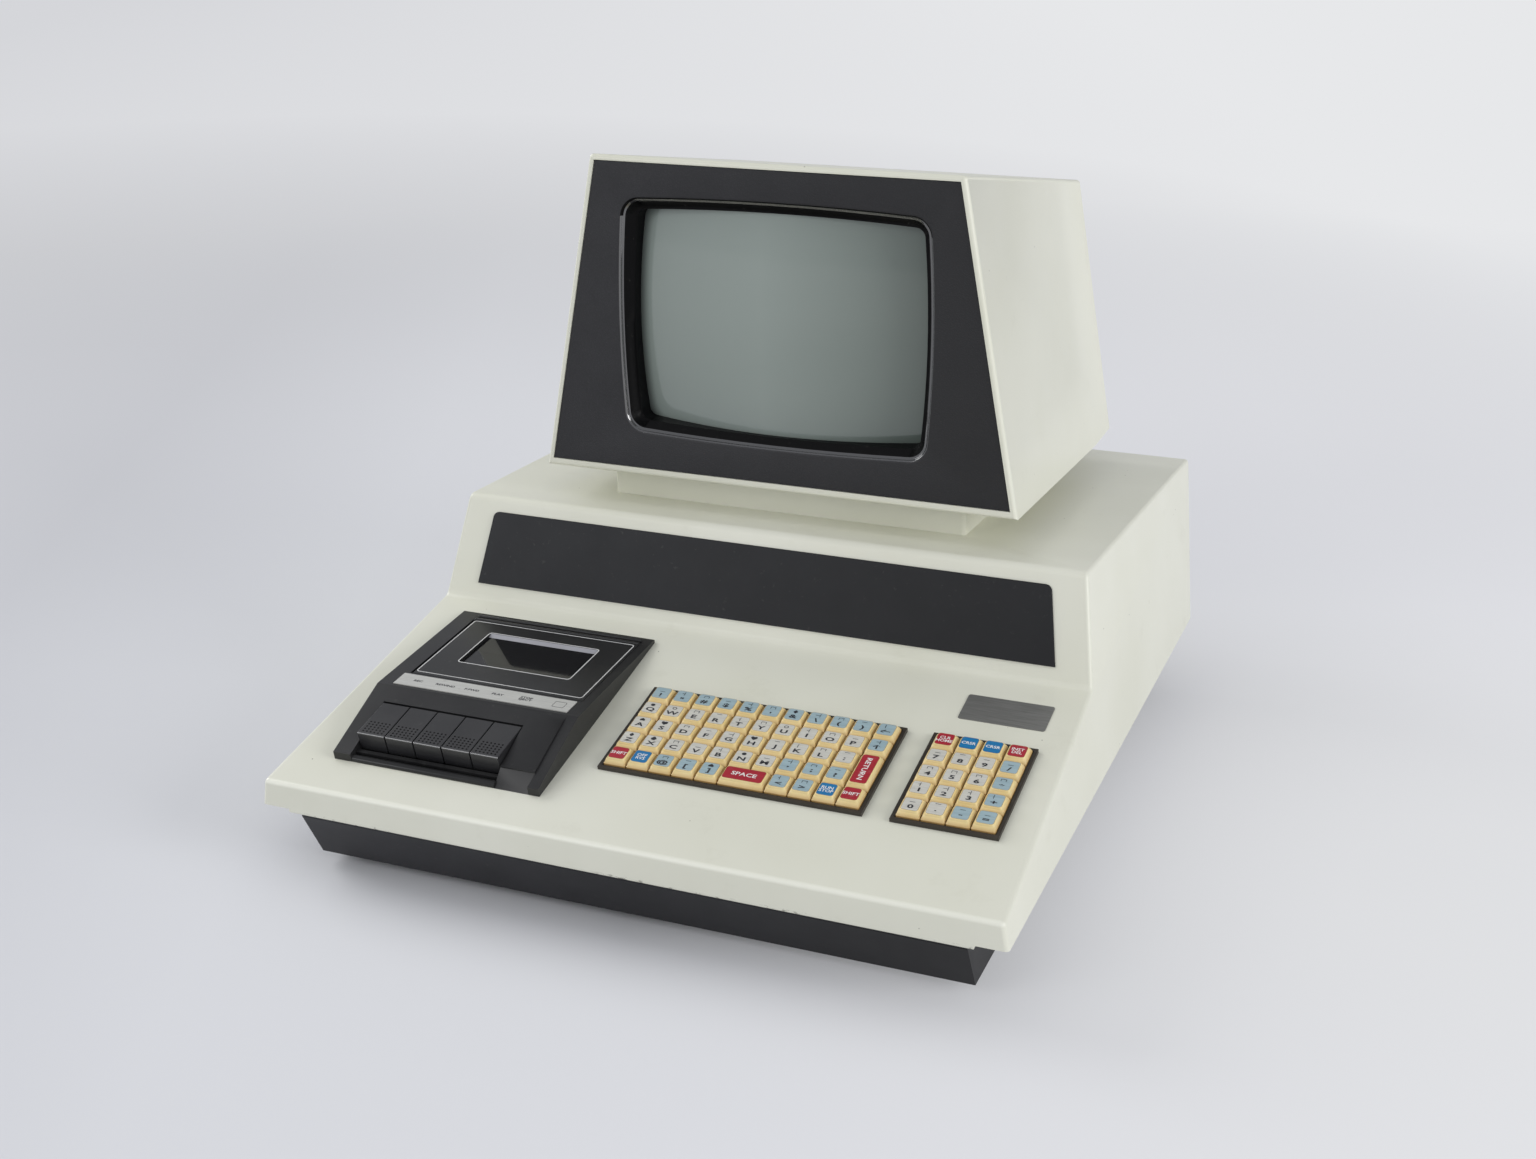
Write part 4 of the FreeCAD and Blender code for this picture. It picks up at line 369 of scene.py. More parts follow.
def screen_glass(finish):
    """Grey green tube face: still dust on clear glass over the phosphor, with painted shade that darkens it to the
    right and lower down and along its border.
    """
    half_width, half_height, middle_x, middle_z = 86.6 * mm, 64.9 * mm, 0.6 * mm, 264.4 * mm
    bow, power = 0.037, 18
    # Painted shade: lighter towards the left and top, darker towards the right and the bottom.
    side = finish.between(finish.axis("X"), -10 * mm, 95 * mm)
    low = finish.between(finish.axis("Z"), 340 * mm, 195 * mm)
    painted_shade_fall = finish.math("ADD", finish.times(side, 0.8), finish.times(low, 0.2))
    painted_shade_fall = finish.math("SMOOTH_MIN", painted_shade_fall, 1.0)
    colour = finish.two_tone(painted_shade_fall, (147, 157, 151), (90, 100, 93))
    across = finish.times(finish.math("SUBTRACT", finish.axis("X"), middle_x), 1 / half_width)
    upright = finish.times(finish.math("SUBTRACT", finish.axis("Z"), middle_z), 1 / half_height)

    def reach(along, other):
        """Share of the way to the barrel shaped border, to its power."""
        bowed = finish.math("ADD", finish.times(finish.times(other, other), bow), 1 - bow)
        return finish.math("POWER", finish.math("ABSOLUTE", finish.times(along, bowed)), power)
    share = finish.math("ADD", reach(across, upright), reach(upright, across))
    share = finish.math("POWER", share, 1 / power)
    # Painted shade along the barrel shaped border of the glass, wider on the left.
    soft = finish.span(finish.between(across, -0.2, -0.9), 0.985, 0.925)
    colour = finish.tint(colour, finish.between(share, soft, 1.03), 0.94, (18, 20, 19))
    colour = finish.tint(colour, finish.cloud(0.62, 0.86, 700, 4, 0.7), 0.06, (190, 190, 184))
    finish.set(Base_Color=colour, Roughness=0.08, Specular_IOR_Level=0.5)
    finish.set(Coat_Weight=0.5, Coat_Roughness=0.03)
    finish.bump(finish.noise(6, 2), 0.05 * mm, 0.05)


def smoked(finish):
    """Smoked clear window, lightly scratched."""
    scratch = finish.cloud(0.66, 0.74, 300, 4, 0.6, (0.1, 1.4, 1), (0, 0, 0.6))
    finish.set(Base_Color=srgb(70, 70, 72), Transmission_Weight=0.82, IOR=1.45)
    finish.set(Roughness=finish.span(scratch, 0.05, 0.3))
    finish.bump(scratch, 0.01 * mm, 0.4)


def board_green(finish):
    """Circuit board: solder mask over tracks that run both ways, with rows of holes."""
    per_metre, track_share, hole_share, split = 394, 0.38, 0.2, 0.35
    pitch_x, pitch_y = (finish.math("FRACT", finish.times(finish.axis(name), per_metre)) for name in "XY")
    gate = finish.cells(34, stretch=(1, 0.6, 1))
    pick = finish.add("SeparateColor", {0: gate.outputs["Color"]}).outputs

    def both(first, second):
        """Product of two comparisons, each with its operation, value and limit."""
        return finish.times(finish.math(*first), finish.math(*second))
    tracks_x = both(("LESS_THAN", pitch_x, track_share), ("GREATER_THAN", pick["Red"], split))
    tracks_y = both(("LESS_THAN", pitch_y, track_share), ("LESS_THAN", pick["Red"], split))
    track = finish.math("MAXIMUM", tracks_x, tracks_y)
    holes = both(("LESS_THAN", pitch_x, hole_share), ("LESS_THAN", pitch_y, hole_share))
    spots = finish.times(holes, finish.math("GREATER_THAN", pick["Green"], 0.5))
    colour = finish.two_tone(track, (20, 74, 44), (44, 112, 62))
    colour = finish.blend(spots, colour, srgb(190, 188, 178))
    colour = finish.tint(colour, finish.cloud(0.5, 0.85, 90, 5, 0.7), 0.2, (120, 116, 100))
    finish.set(Base_Color=colour, Roughness=0.38)
    finish.bump(track, 0.04 * mm, 0.5)


def windings(finish, body, light, pitch):
    """Close turns of varnished wire or tape, as ridges across Y."""
    ridge = finish.math("DIVIDE", finish.math("PINGPONG", finish.axis("Y"), pitch), pitch)
    colour = finish.two_tone(finish.cloud(0.3, 0.8, 120, 4, 0.6), body, light)
    # Painted shade: darker towards the groove between turns.
    colour = finish.blend(finish.span(ridge, 0.5, 0.0), colour, srgb(30, 18, 10))
    finish.set(Base_Color=colour, Roughness=0.35, Metallic=0.3)
    finish.bump(ridge, 0.25 * mm, 0.7)


def laminations(finish):
    """Edges of stacked core plates under a dull varnish."""
    pitch = 0.5 * mm
    edge = finish.math("DIVIDE", finish.math("PINGPONG", finish.axis("Y"), pitch), pitch)
    colour = finish.two_tone(finish.cloud(0.3, 0.8, 90, 5, 0.7), (74, 70, 66), (106, 100, 92))
    colour = finish.tint(colour, finish.cloud(0.60, 0.75, 40, 6, 0.75), 0.5, (98, 62, 38))
    finish.set(Base_Color=colour, Metallic=0.5, Roughness=0.5)
    finish.bump(edge, 0.1 * mm, 0.6)


def floor_cloth(finish):
    """Pale studio sweep that turns into a light grey backdrop in the distance; painted shade darkens it to the
    left, and a painted pool of light lifts the shadow to the right of the object.
    """
    # Painted shade on the floor: its colour darkens towards the left and brightens towards the right.
    slant = finish.math("ADD", finish.axis("X"), finish.times(finish.axis("Y"), 0.42))
    tone = finish.two_tone(finish.between(slant, -0.62, -0.33), (199, 200, 204), (220, 221, 224))
    tone = finish.blend(finish.between(slant, -0.33, 0.5), tone, srgb(238, 238, 240))
    colour = finish.tint(tone, finish.cloud(0.3, 0.7, 1.2, 2), 0.10, (232, 232, 234))
    finish.set(Base_Color=colour, Roughness=0.9, Specular_IOR_Level=0.1)
    rays = finish.add("LightPath").outputs
    seen = finish.math("MAXIMUM", rays["Is Camera Ray"], rays["Is Glossy Ray"])
    seen = finish.math("MAXIMUM", seen, rays["Is Transmission Ray"])
    # Camera and glossy rays see emission far from the object, as the backdrop, and in a patch to the right of it:
    # a painted pool of light that lifts the shadow there.
    away = finish.between(finish.apart((0, 0, 0)), 0.5, 1.7)
    right = finish.between(finish.apart((0.42, -0.03, 0)), 0.46, 0.08)
    share = finish.math("MAXIMUM", away, finish.times(right, 0.92))
    # Painted shade in the emission too: darker towards the left, and darker still in a patch behind the left.
    far = finish.two_tone(finish.between(slant, -1.9, 0.9), (213, 214, 218), (231, 232, 234))
    left = finish.between(finish.apart((-0.98, 0.45, 0)), 1.7, 0.2)
    glow = finish.add("Emission", {"Color": finish.blend(left, far, srgb(195, 196, 200))})
    mix = finish.add("MixShader", {0: finish.times(seen, share), 1: finish.shader.outputs[0],
                                   2: glow.outputs[0]})
    finish.wire(finish.tree.nodes["Material Output"].inputs["Surface"], mix.outputs[0])


# Each finish has its recipe, the name of its material and the values of the recipe
recipes = {
    "case": (cream_paint, "case_paint", (224, 224, 210), (217, 217, 201), True),
    "cabinet": (cream_paint, "cabinet_paint", (223, 223, 208), (217, 217, 200), False),
    # The pan and the name panel take painted shade, darker to the right, by their last value.
    "pan": (dark_paint, "pan_paint", (40, 40, 43), (50, 50, 53), 1100, (0.42, 0.55), 0.05, 0.3, 0.8),
    "panel": (dark_paint, "name_panel_black", (28, 29, 32), (35, 36, 39), 2200, (0.42, 0.54), 0.02,
              0.3, 0.5),
    "deck_black": (dark_paint, "tape_deck_black", (31, 31, 32), (40, 40, 40), 1300, (0.26, 0.38),
                   0.04, 0.38),
    "tape_key": (dark_paint, "tape_key_black", (36, 36, 38), (46, 46, 47), 1500, (0.28, 0.42), 0.03),
    # The near-black grip dots are painted shade that stands for the dimples of the grip.
    "grip": (dark_paint, "key_grip_black", (8, 8, 9), (13, 13, 14), 1500, (0.6, 0.8), 0.02, 0.1),
    # The light grey bevel finish is a painted highlight where the window's rear bevel catches the light.
    "bevel_highlight": (dark_paint, "window_bevel", (150, 150, 156), (164, 164, 168), 900, (0.3, 0.45), 0.02),
    "surround": (dark_paint, "surround_brown", (44, 39, 33), (55, 49, 42), 1200, (0.38, 0.52)),
    # The hood finish is near-black: painted shade in the recess around the screen.
    "hood": (dark_paint, "hood_black", (6, 6, 7), (10, 10, 11), 2200, (0.34, 0.44), 0.01, 0.1),
    "lip": (dark_paint, "lip_black", (24, 24, 26), (32, 32, 34), 2200, (0.16, 0.24), 0.01, 0.5, 0.0,
            2.1),
    "fitting": (dark_paint, "fitting_black", (34, 34, 35), (48, 48, 48), 1400),
    "chip": (dark_paint, "chip_black", (30, 30, 32), (44, 44, 45), 1600, (0.45, 0.6), 0.03),
    "sleeve": (dark_paint, "capacitor_blue", (34, 62, 112), (46, 76, 128), 900, (0.25, 0.4), 0.02),
    "white": (dark_paint, "white_plastic", (206, 206, 198), (218, 218, 210), 900, (0.35, 0.5), 0.02),
    "bezel": (leather_grain, "bezel_leather"),
    "key": (key_plastic, "key_plastic"),
    "silver": (metal, "plate_silver", "plate", (200, 198, 189), (218, 216, 207), 0.15, (0.30, 0.42)),
    "pale": (metal, "plate_pale_blue", "plate", (150, 174, 182), (170, 192, 198), 0.15, (0.30, 0.42)),
    "red": (metal, "plate_red", "plate", (156, 30, 46), (176, 38, 54), 0.05, (0.30, 0.42)),
    "blue": (metal, "plate_blue", "plate", (16, 106, 164), (30, 124, 176), 0.05, (0.30, 0.42)),
    "strip": (metal, "legend_strip", "foil", (190, 190, 185), (208, 208, 202), 0.3),
    "label": (metal, "deck_label_foil", "foil", (116, 116, 113), (136, 136, 133), 0.4),
    "steel": (metal, "bright_steel", "steel", (178, 178, 174), (206, 206, 202)),
    "zinc": (metal, "zinc_plate", "steel", (158, 158, 156), (192, 190, 184), 0.9, (0.35, 0.52)),
    "brass": (metal, "brass", "steel", (190, 150, 84), (212, 176, 104), 0.9, (0.25, 0.4)),
    "gold": (metal, "gold_finger", "steel", (206, 164, 84), (226, 188, 104), 0.9, (0.2, 0.3)),
    # The brown ring around each key plate is painted shade in its seam.
    "plate_edge": (ink, "plate_edge", (150, 125, 80)),
    "dark_ink": (ink, "dark_ink", (38, 38, 44)),
    "light_ink": (ink, "light_ink", (238, 236, 232)),
    "line": (ink, "line_white", (222, 222, 220), 0.4),
    "rubber": (matt, "rubber", (0.3, 0.8, 180, 4, 0.6), (30, 30, 31), (44, 43, 42), 0.75, (1200, 3),
               0.05 * mm, 0.5),
    "coating": (matt, "tube_coating", (0.3, 0.75, 60, 5, 0.7), (34, 34, 36), (58, 57, 58), 0.7,
                (500, 4), 0.1 * mm, 0.4),
    "glass": (screen_glass, "screen_glass"),
    "window": (smoked, "smoked_window"),
    "board": (board_green, "main_board_green"),
    "copper": (windings, "coil_copper", (150, 76, 38), (182, 100, 54), 0.6 * mm),
    "tape_wrap": (windings, "coil_wrap", (206, 186, 120), (222, 204, 142), 2.4 * mm),
    "core": (laminations, "laminations"),
    "floor": (floor_cloth, "studio_floor"),
}
paint = {}
for key, (recipe, name, *values) in recipes.items():
    blank = Finish(name)
    recipe(blank, *values)
    paint[key] = blank.material


# Mesh helpers
def in_scene(name, data):
    """New object of some data, linked to the scene."""
    item = bpy.data.objects.new(name, data)
    bpy.context.scene.collection.objects.link(item)
    return item


def plain_mesh(carrier):
    """Mesh that an object evaluates to; the object goes."""
    graph = bpy.context.evaluated_depsgraph_get()
    data = bpy.data.meshes.new_from_object(carrier.evaluated_get(graph))
    bpy.data.objects.remove(carrier)
    return data


def finish_piece(name, mesh, materials, body, stands_for=(), slot=None, bevel=0.0, sharp=32):
    """Make an object of a bmesh, round its edges and let it ride on a body."""
    data = bpy.data.meshes.new(name)
    mesh.to_mesh(data)
    mesh.free()
    for material in materials:
        data.materials.append(paint[material])
    piece = in_scene(name, data)
    data.shade_smooth()
    data.set_sharp_from_angle(angle=math.radians(sharp))
    if bevel:
        modifier = piece.modifiers.new("edges", "BEVEL")
        modifier.width = bevel
        modifier.segments = 2
        modifier.limit_method = "ANGLE"
        modifier.angle_limit = math.radians(sharp)
        modifier.harden_normals = True
    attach(piece, body)
    if stands_for:
        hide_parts(*stands_for)
    return piece


def copy_of(node):
    """Merged copy of a CAD node, with its flat areas as whole faces."""
    mesh = bmesh.new()
    mesh.from_mesh(nodes[node].data)
    bmesh.ops.remove_doubles(mesh, verts=mesh.verts, dist=weld)
    bmesh.ops.dissolve_limit(mesh, angle_limit=math.radians(0.2), verts=mesh.verts,
                             edges=mesh.edges)
    return mesh


def slot_of(node):
    for entry in frame["record"]["subparts"]:
        if entry["node"] == node:
            return entry["material_slot"]


def body_of(node):
    for body, members in frame["record"]["behaviour"]["bodies"].items():
        if node in members:
            return body


def rounded_rectangle(half_x, half_y, radius, steps=4):
    points = []
    for corner, (sx, sy) in enumerate(((1, 1), (-1, 1), (-1, -1), (1, -1))):
        for step in range(steps + 1):
            angle = math.pi / 2 * (corner + step / steps)
            points.append((sx * (half_x - radius) + radius * math.cos(angle),
                           sy * (half_y - radius) + radius * math.sin(angle)))
    return points


def bridge(mesh, low, high, material):
    """Quads between two closed loops of as many points."""
    for i in range(len(low)):
        j = (i + 1) % len(low)
        mesh.faces.new((low[i], low[j], high[j], high[i])).material_index = material


def shell(mesh, matrix, outlines, material=0):
    """Closed skin through outlines, each with its points and its height."""
    rings = [[mesh.verts.new(matrix @ Vector((x, y, height))) for x, y in points]
             for points, height in outlines]
    mesh.faces.new(rings[0][::-1]).material_index = material
    mesh.faces.new(rings[-1]).material_index = material
    for low, high in zip(rings, rings[1:]):
        bridge(mesh, low, high, material)


def stack(mesh, matrix, centre, loops, material=0, steps=4):
    """Closed skin of rounded rectangles: each loop is half_x, half_y, radius, shift_y, height."""
    outlines = []
    for half_x, half_y, radius, shift_y, height in loops:
        points = rounded_rectangle(half_x, half_y, radius, steps)
        outlines.append(([(centre[0] + x, centre[1] + shift_y + y) for x, y in points], height))
    shell(mesh, matrix, outlines, material)


def ring_band(mesh, matrix, outer, inner, low, high, material=0):
    """Flat closed frame between two outlines with as many points."""
    rows = []
    for outline, height in ((outer, low), (outer, high), (inner, high), (inner, low)):
        rows.append([mesh.verts.new(matrix @ Vector((x, y, height))) for x, y in outline])
    for first, second in zip(rows, rows[1:] + rows[:1]):
        bridge(mesh, first, second, material)


def bar(mesh, matrix, low, high, material=0):
    """Plain box between two corners, for parts of a larger piece."""
    (x0, y0, z0), (x1, y1, z1) = low, high
    verts = [mesh.verts.new(matrix @ Vector((x, y, z))) for z in (z0, z1)
             for x, y in ((x0, y0), (x1, y0), (x1, y1), (x0, y1))]
    for order in ((3, 2, 1, 0), (4, 5, 6, 7), (0, 1, 5, 4), (1, 2, 6, 5), (2, 3, 7, 6), (3, 0, 4, 7)):
        mesh.faces.new([verts[i] for i in order]).material_index = material


def profile_block(mesh, matrix, x0, x1, profile):
    """Closed block with the given (s, h) outline between two x places."""
    left, right = ([mesh.verts.new(matrix @ Vector((x, s, h))) for s, h in profile] for x in (x0, x1))
    mesh.faces.new(left)
    mesh.faces.new(right[::-1])
    bridge(mesh, right, left, 0)


def add_mesh(mesh, data, matrix, material):
    """Add a plain mesh to a bmesh through a matrix, in one material."""
    part = data.copy()
    part.transform(matrix)
    part.polygons.foreach_set("material_index", [material] * len(part.polygons))
    mesh.from_mesh(part)
    bpy.data.meshes.remove(part)


letters = {}


def lettering(text, size, weight):
    """Flat mesh of a short legend, centred on its own middle."""
    if (text, size) not in letters:
        curve = bpy.data.curves.new("legend", "FONT")
        curve.body = text
        curve.size = size
        curve.align_x = "CENTER"
        curve.offset = size * weight
        curve.space_line = 0.85
        curve.resolution_u = 2
        data = plain_mesh(in_scene("legend", curve))
        xs = [v.co.x for v in data.vertices]
        ys = [v.co.y for v in data.vertices]
        middle = Vector(((min(xs) + max(xs)) / 2, (min(ys) + max(ys)) / 2, 0))
        data.transform(Matrix.Translation(-middle))
        letters[(text, size)] = data
    return letters[(text, size)]


def write(mesh, matrix, text, size, place, material, wide=1.15, turn=0.0, weight=0.03):
    local = Matrix.Translation(place) @ Matrix.Rotation(turn, 4, "Z")
    local = local @ Matrix.Diagonal((wide, 1, 1, 1))
    add_mesh(mesh, lettering(text, size, weight), matrix @ local, material)


# Geometry nodes that repeat a small shape on a grid
def grid_tree(name, shape, material):
    """Grid of small shapes, with its counts, pitches and size as inputs."""
    tree = bpy.data.node_groups.new(name, "GeometryNodeTree")
    for label, kind, value in (("Columns", "NodeSocketInt", 4), ("Rows", "NodeSocketInt", 4),
                               ("Pitch X", "NodeSocketFloat", 1 * mm),
                               ("Pitch Y", "NodeSocketFloat", 1 * mm),
                               ("Size", "NodeSocketVector", (mm, mm, mm))):
        socket = tree.interface.new_socket(name=label, in_out="INPUT", socket_type=kind)
        socket.default_value = value
    tree.interface.new_socket(name="Geometry", in_out="OUTPUT", socket_type="NodeSocketGeometry")
    start = tree.nodes.new("NodeGroupInput").outputs
    end = tree.nodes.new("NodeGroupOutput")
    grid, unit, scatter, realize, colour = (
        tree.nodes.new("GeometryNode" + kind)
        for kind in ("MeshGrid", shape, "InstanceOnPoints", "RealizeInstances", "SetMaterial"))
    colour.inputs["Material"].default_value = paint[material]

    def extent(count, pitch):
        gaps = tree.nodes.new("ShaderNodeMath")
        gaps.operation = "SUBTRACT"
        gaps.inputs[1].default_value = 1
        tree.links.new(start[count], gaps.inputs[0])
        size = tree.nodes.new("ShaderNodeMath")
        size.operation = "MULTIPLY"
        tree.links.new(gaps.outputs[0], size.inputs[0])
        tree.links.new(start[pitch], size.inputs[1])
        return size.outputs[0]
    for output, socket in (
            (extent("Columns", "Pitch X"), grid.inputs["Size X"]),
            (extent("Rows", "Pitch Y"), grid.inputs["Size Y"]),
            (start["Columns"], grid.inputs["Vertices X"]),
            (start["Rows"], grid.inputs["Vertices Y"]),
            (grid.outputs["Mesh"], scatter.inputs["Points"]),
            (unit.outputs["Mesh"], scatter.inputs["Instance"]),
            (start["Size"], scatter.inputs["Scale"]),
            (scatter.outputs[0], realize.inputs[0]),
            (realize.outputs[0], colour.inputs["Geometry"]),
            (colour.outputs[0], end.inputs["Geometry"])):
        tree.links.new(output, socket)
    return tree


def grown(tree, **values):
    """Plain mesh of a tree with its inputs set by their identifiers."""
    carrier = in_scene("carrier", bpy.data.meshes.new("carrier"))
    modifier = carrier.modifiers.new("grow", "NODES")
    modifier.node_group = tree
    for item in tree.interface.items_tree:
        key = item.name.replace(" ", "_").lower()
        if item.in_out == "INPUT" and key in values:
            modifier[item.identifier] = values[key]
    return plain_mesh(carrier)


dots = grid_tree("grip_dots", "MeshIcoSphere", "tape_key")
pins = grid_tree("metal_pins", "MeshCube", "zinc")
fingers = grid_tree("edge_fingers", "MeshCube", "gold")


# Nodes that keep their CAD shape: finish, rounding of the edges and angle of a sharp edge
dressings = {
    "top_housing": ("case", 0.0, 28), "monitor_pedestal": ("case", 0.4 * mm),
    "monitor_shell": ("cabinet", 0.5 * mm, 26), "name_panel": ("panel", 0.2 * mm),
    "deck_label": ("label", 0.1 * mm), "base_pan": ("pan", 0.6 * mm, 40),
    "rubber_feet": ("rubber", 0.8 * mm), "monitor_back": ("pan", 0.3 * mm, 40),
    "keyboard_surround": ("surround", 0.25 * mm, 40), "keypad_surround": ("surround", 0.25 * mm, 40),
    "tape_housing": ("deck_black", 0.5 * mm, 30), "tape_door": ("deck_black", 0.3 * mm),
    "tape_window": ("window", 0.1 * mm), "tape_chassis": ("zinc", 0.1 * mm),
    "flywheel": ("steel", 0.2 * mm), "supply_spindle": ("white", 0.1 * mm),
    "takeup_spindle": ("white", 0.1 * mm), "tape_head": ("steel", 0.15 * mm),
    "pinch_roller": ("rubber", 0.2 * mm), "tube_band": ("zinc", 0.2 * mm),
    "deflection_yoke": ("copper", 0.6 * mm), "flyback_transformer": ("fitting", 1 * mm),
    "case_screws": ("zinc", 0.15 * mm), "brightness_knob": ("fitting", 0.5 * mm),
    "smoothing_capacitor": ("sleeve", 0.3 * mm), "power_switch": ("fitting", 0.4 * mm),
    "switch_rocker": ("fitting", 0.3 * mm), "mains_gland": ("fitting", 0.3 * mm),
    "fuse_holder": ("fitting", 0.3 * mm), "base_hinges": ("zinc", 0.15 * mm),
    "housing_hinges": ("zinc", 0.15 * mm), "prop_rod": ("zinc", 0.3 * mm),
    "logic_chips": ("chip", 0.3 * mm),
}
repainted = {"tape_key_axle": "steel", "tape_motor": "zinc", "motor_pulley": "brass",
             "drive_belt": "rubber", "monitor_board": "board", "main_board": "board",
             "keyboard_board": "board"}


def plain_nodes():
    """Finer copies of CAD nodes with rounded edges, and nodes that only get a finish."""
    for node, (material, *edges) in dressings.items():
        finish_piece(node + "_skin", copy_of(node), [material], body_of(node), (node,), slot_of(node),
                     *edges)
    for node, material in repainted.items():
        slots = nodes[node].data.materials
        slots.clear()
        slots.append(paint[material])


def monitor_bezel():
    """Grained bezel with its glossy lip, and the hood around the screen painted near-black as shade, as is the
    upper side of the lip.
    """
    bezel = finish_piece("monitor_bezel_skin", copy_of("monitor_bezel"), ["bezel", "hood", "lip"],
                         "housing", ("monitor_bezel",), slot_of("monitor_bezel"), sharp=40)
    to_screen = screen.inverted()
    for face in bezel.data.polygons:
        x, depth, z = to_screen @ face.center
        # Faces inside the opening: the hood walls and the upper side of the lip take the near-black hood finish,
        # painted shade; the rest of the lip keeps the glossy lip finish.
        if depth > 0.95 * mm and abs(x) < 101 * mm and abs(z) < 76 * mm:
            face.material_index = 1 if depth > 3.0 * mm or z > 56 * mm else 2


# Keys
def plates(signs, kind):
    return tuple((sign, kind) for sign in signs)


row_plates = (
    plates("!\"#$%'&\\()←", "pale"),
    plates("QWERTYUIOP", "silver") + plates("↑", "pale"),
    plates("ASDFGHJKL:", "silver"),
    plates("ZXCVBNM", "silver") + plates(",;?", "pale"),
    (("SHIFT", "red"), ("OFF\nRVS", "blue")) + plates("@[]", "pale") + (None, None)
    + plates("<>", "pale") + (("RUN\nSTOP", "blue"), ("SHIFT", "red")),
)
pad_plates = (
    (("CLR\nHOME", "red"),) + plates("7410", "silver"),
    (("CRSR", "blue"),) + plates("852.", "silver"),
    (("CRSR", "blue"),) + plates("963", "silver") + plates("-", "pale"),
    (("INST\nDEL", "red"),) + plates("/*+=", "pale"),
)
key_materials = ["key", "silver", "pale", "red", "blue", "dark_ink", "light_ink", "plate_edge"]
skirt_low = 0.2 * mm
skirt_high = 3.2 * mm
shoulder = 4.3 * mm
cap_high = 5.7 * mm
cap_shift = 0.5 * mm
skirt_edge = 0.35 * mm
cap_half_x = 4.9 * mm
cap_half_s = 5.1 * mm
plate_inset = 0.45 * mm
plate_corner = 1.3 * mm
plate_seam = 0.16 * mm
plate_edge = 0.04 * mm
plate_rise = 0.06 * mm
ink_rise = 0.03 * mm
dark_ink = key_materials.index("dark_ink")
light_ink = key_materials.index("light_ink")
letter_size, letter_wide, letter_shift = 4.2 * mm, 1.55, -1.8 * mm
word_looks = {"SHIFT": (3.3 * mm, 1.1), "SPACE": (4.0 * mm, 1.25), "RETURN": (4.0 * mm, 1.25)}
word_size, word_wide, word_weight = 3.1 * mm, 1.05, 0.018
suit_signs = {40: "♠", 41: "♥", 42: "♦", 43: "♣", 44: "●", 45: "○"}
suit_marks = {"A": 40, "S": 41, "Z": 42, "X": 43, "Q": 44, "W": 45}
suit_size, suit_wide = 2.7 * mm, 1.2
sign_shift = 2.4 * mm
stem_half = 2.3 * mm
stem_low = -8.4 * mm


def column_x(centre, columns, column):
    return centre + (column - (columns - 1) / 2) * key_pitch_x


def row_s(row):
    return key_front_s + key_rim + (key_rows - 0.5 - row) * key_pitch_s


def key_cap(mesh, x, s, plate, mark=0, cells_x=1, cells_s=1, turn=0.0):
    """Skirted key with a raised cap, a printed plate, its legend and its guide stem."""
    text, kind = plate
    half_x = (cells_x * key_pitch_x - key_gap) / 2
    half_s = (cells_s * key_pitch_s - key_gap) / 2
    top_x = cap_half_x + (cells_x - 1) * key_pitch_x / 2
    top_s = cap_half_s + (cells_s - 1) * key_pitch_s / 2
    edge = skirt_edge
    loops = [(half_x - edge, half_s - edge, 0.5 * mm, 0, skirt_low),
             (half_x, half_s, 0.8 * mm, 0, skirt_low + edge),
             (half_x, half_s, 0.8 * mm, 0, skirt_high - edge),
             (half_x - edge, half_s - edge, 1.0 * mm, 0, skirt_high),
             (top_x + 1.0 * mm, top_s + 1.0 * mm, 1.4 * mm, cap_shift, shoulder - edge),
             (top_x + 0.3 * mm, top_s + 0.3 * mm, 1.3 * mm, cap_shift, shoulder + edge / 2),
             (top_x, top_s, 1.2 * mm, cap_shift, cap_high - edge),
             (top_x - edge, top_s - edge, 1.0 * mm, cap_shift, cap_high)]
    stack(mesh, deck, (x, s), loops)
    inner_x, inner_s = top_x - plate_inset, top_s - plate_inset
    # A brown ring just outside the plate: painted shade in the seam around it.
    seam = [(inner_x + plate_seam, inner_s + plate_seam, plate_corner + plate_seam, cap_shift, height)
            for height in (cap_high - plate_edge, cap_high + plate_rise / 3)]
    stack(mesh, deck, (x, s), seam, key_materials.index("plate_edge"), 3)
    foil_loops = [(inner_x, inner_s, plate_corner, cap_shift, cap_high - plate_edge),
                  (inner_x, inner_s, plate_corner, cap_shift, cap_high + plate_rise - plate_edge),
                  (inner_x - plate_edge, inner_s - plate_edge, plate_corner, cap_shift,
                   cap_high + plate_rise)]
    stack(mesh, deck, (x, s), foil_loops, key_materials.index(kind), 3)
    height = cap_high + plate_rise + ink_rise
    middle = s + cap_shift
    if len(text) > 1:
        size, wide = word_looks.get(text, (word_size, word_wide))
        write(mesh, deck, text, size, (x, middle, height), light_ink, wide, turn, word_weight)
    else:
        write(mesh, deck, text, letter_size, (x, middle + letter_shift, height), dark_ink, letter_wide)
        small_sign(mesh, x, middle + sign_shift, height, mark)
    x = x - (cells_x - 1) * key_pitch_x / 2
    s = s - (cells_s - 1) * key_pitch_s / 2
    bar(mesh, deck, (x - stem_half, s - stem_half, stem_low),
        (x + stem_half, s + stem_half, skirt_low + 0.1 * mm))


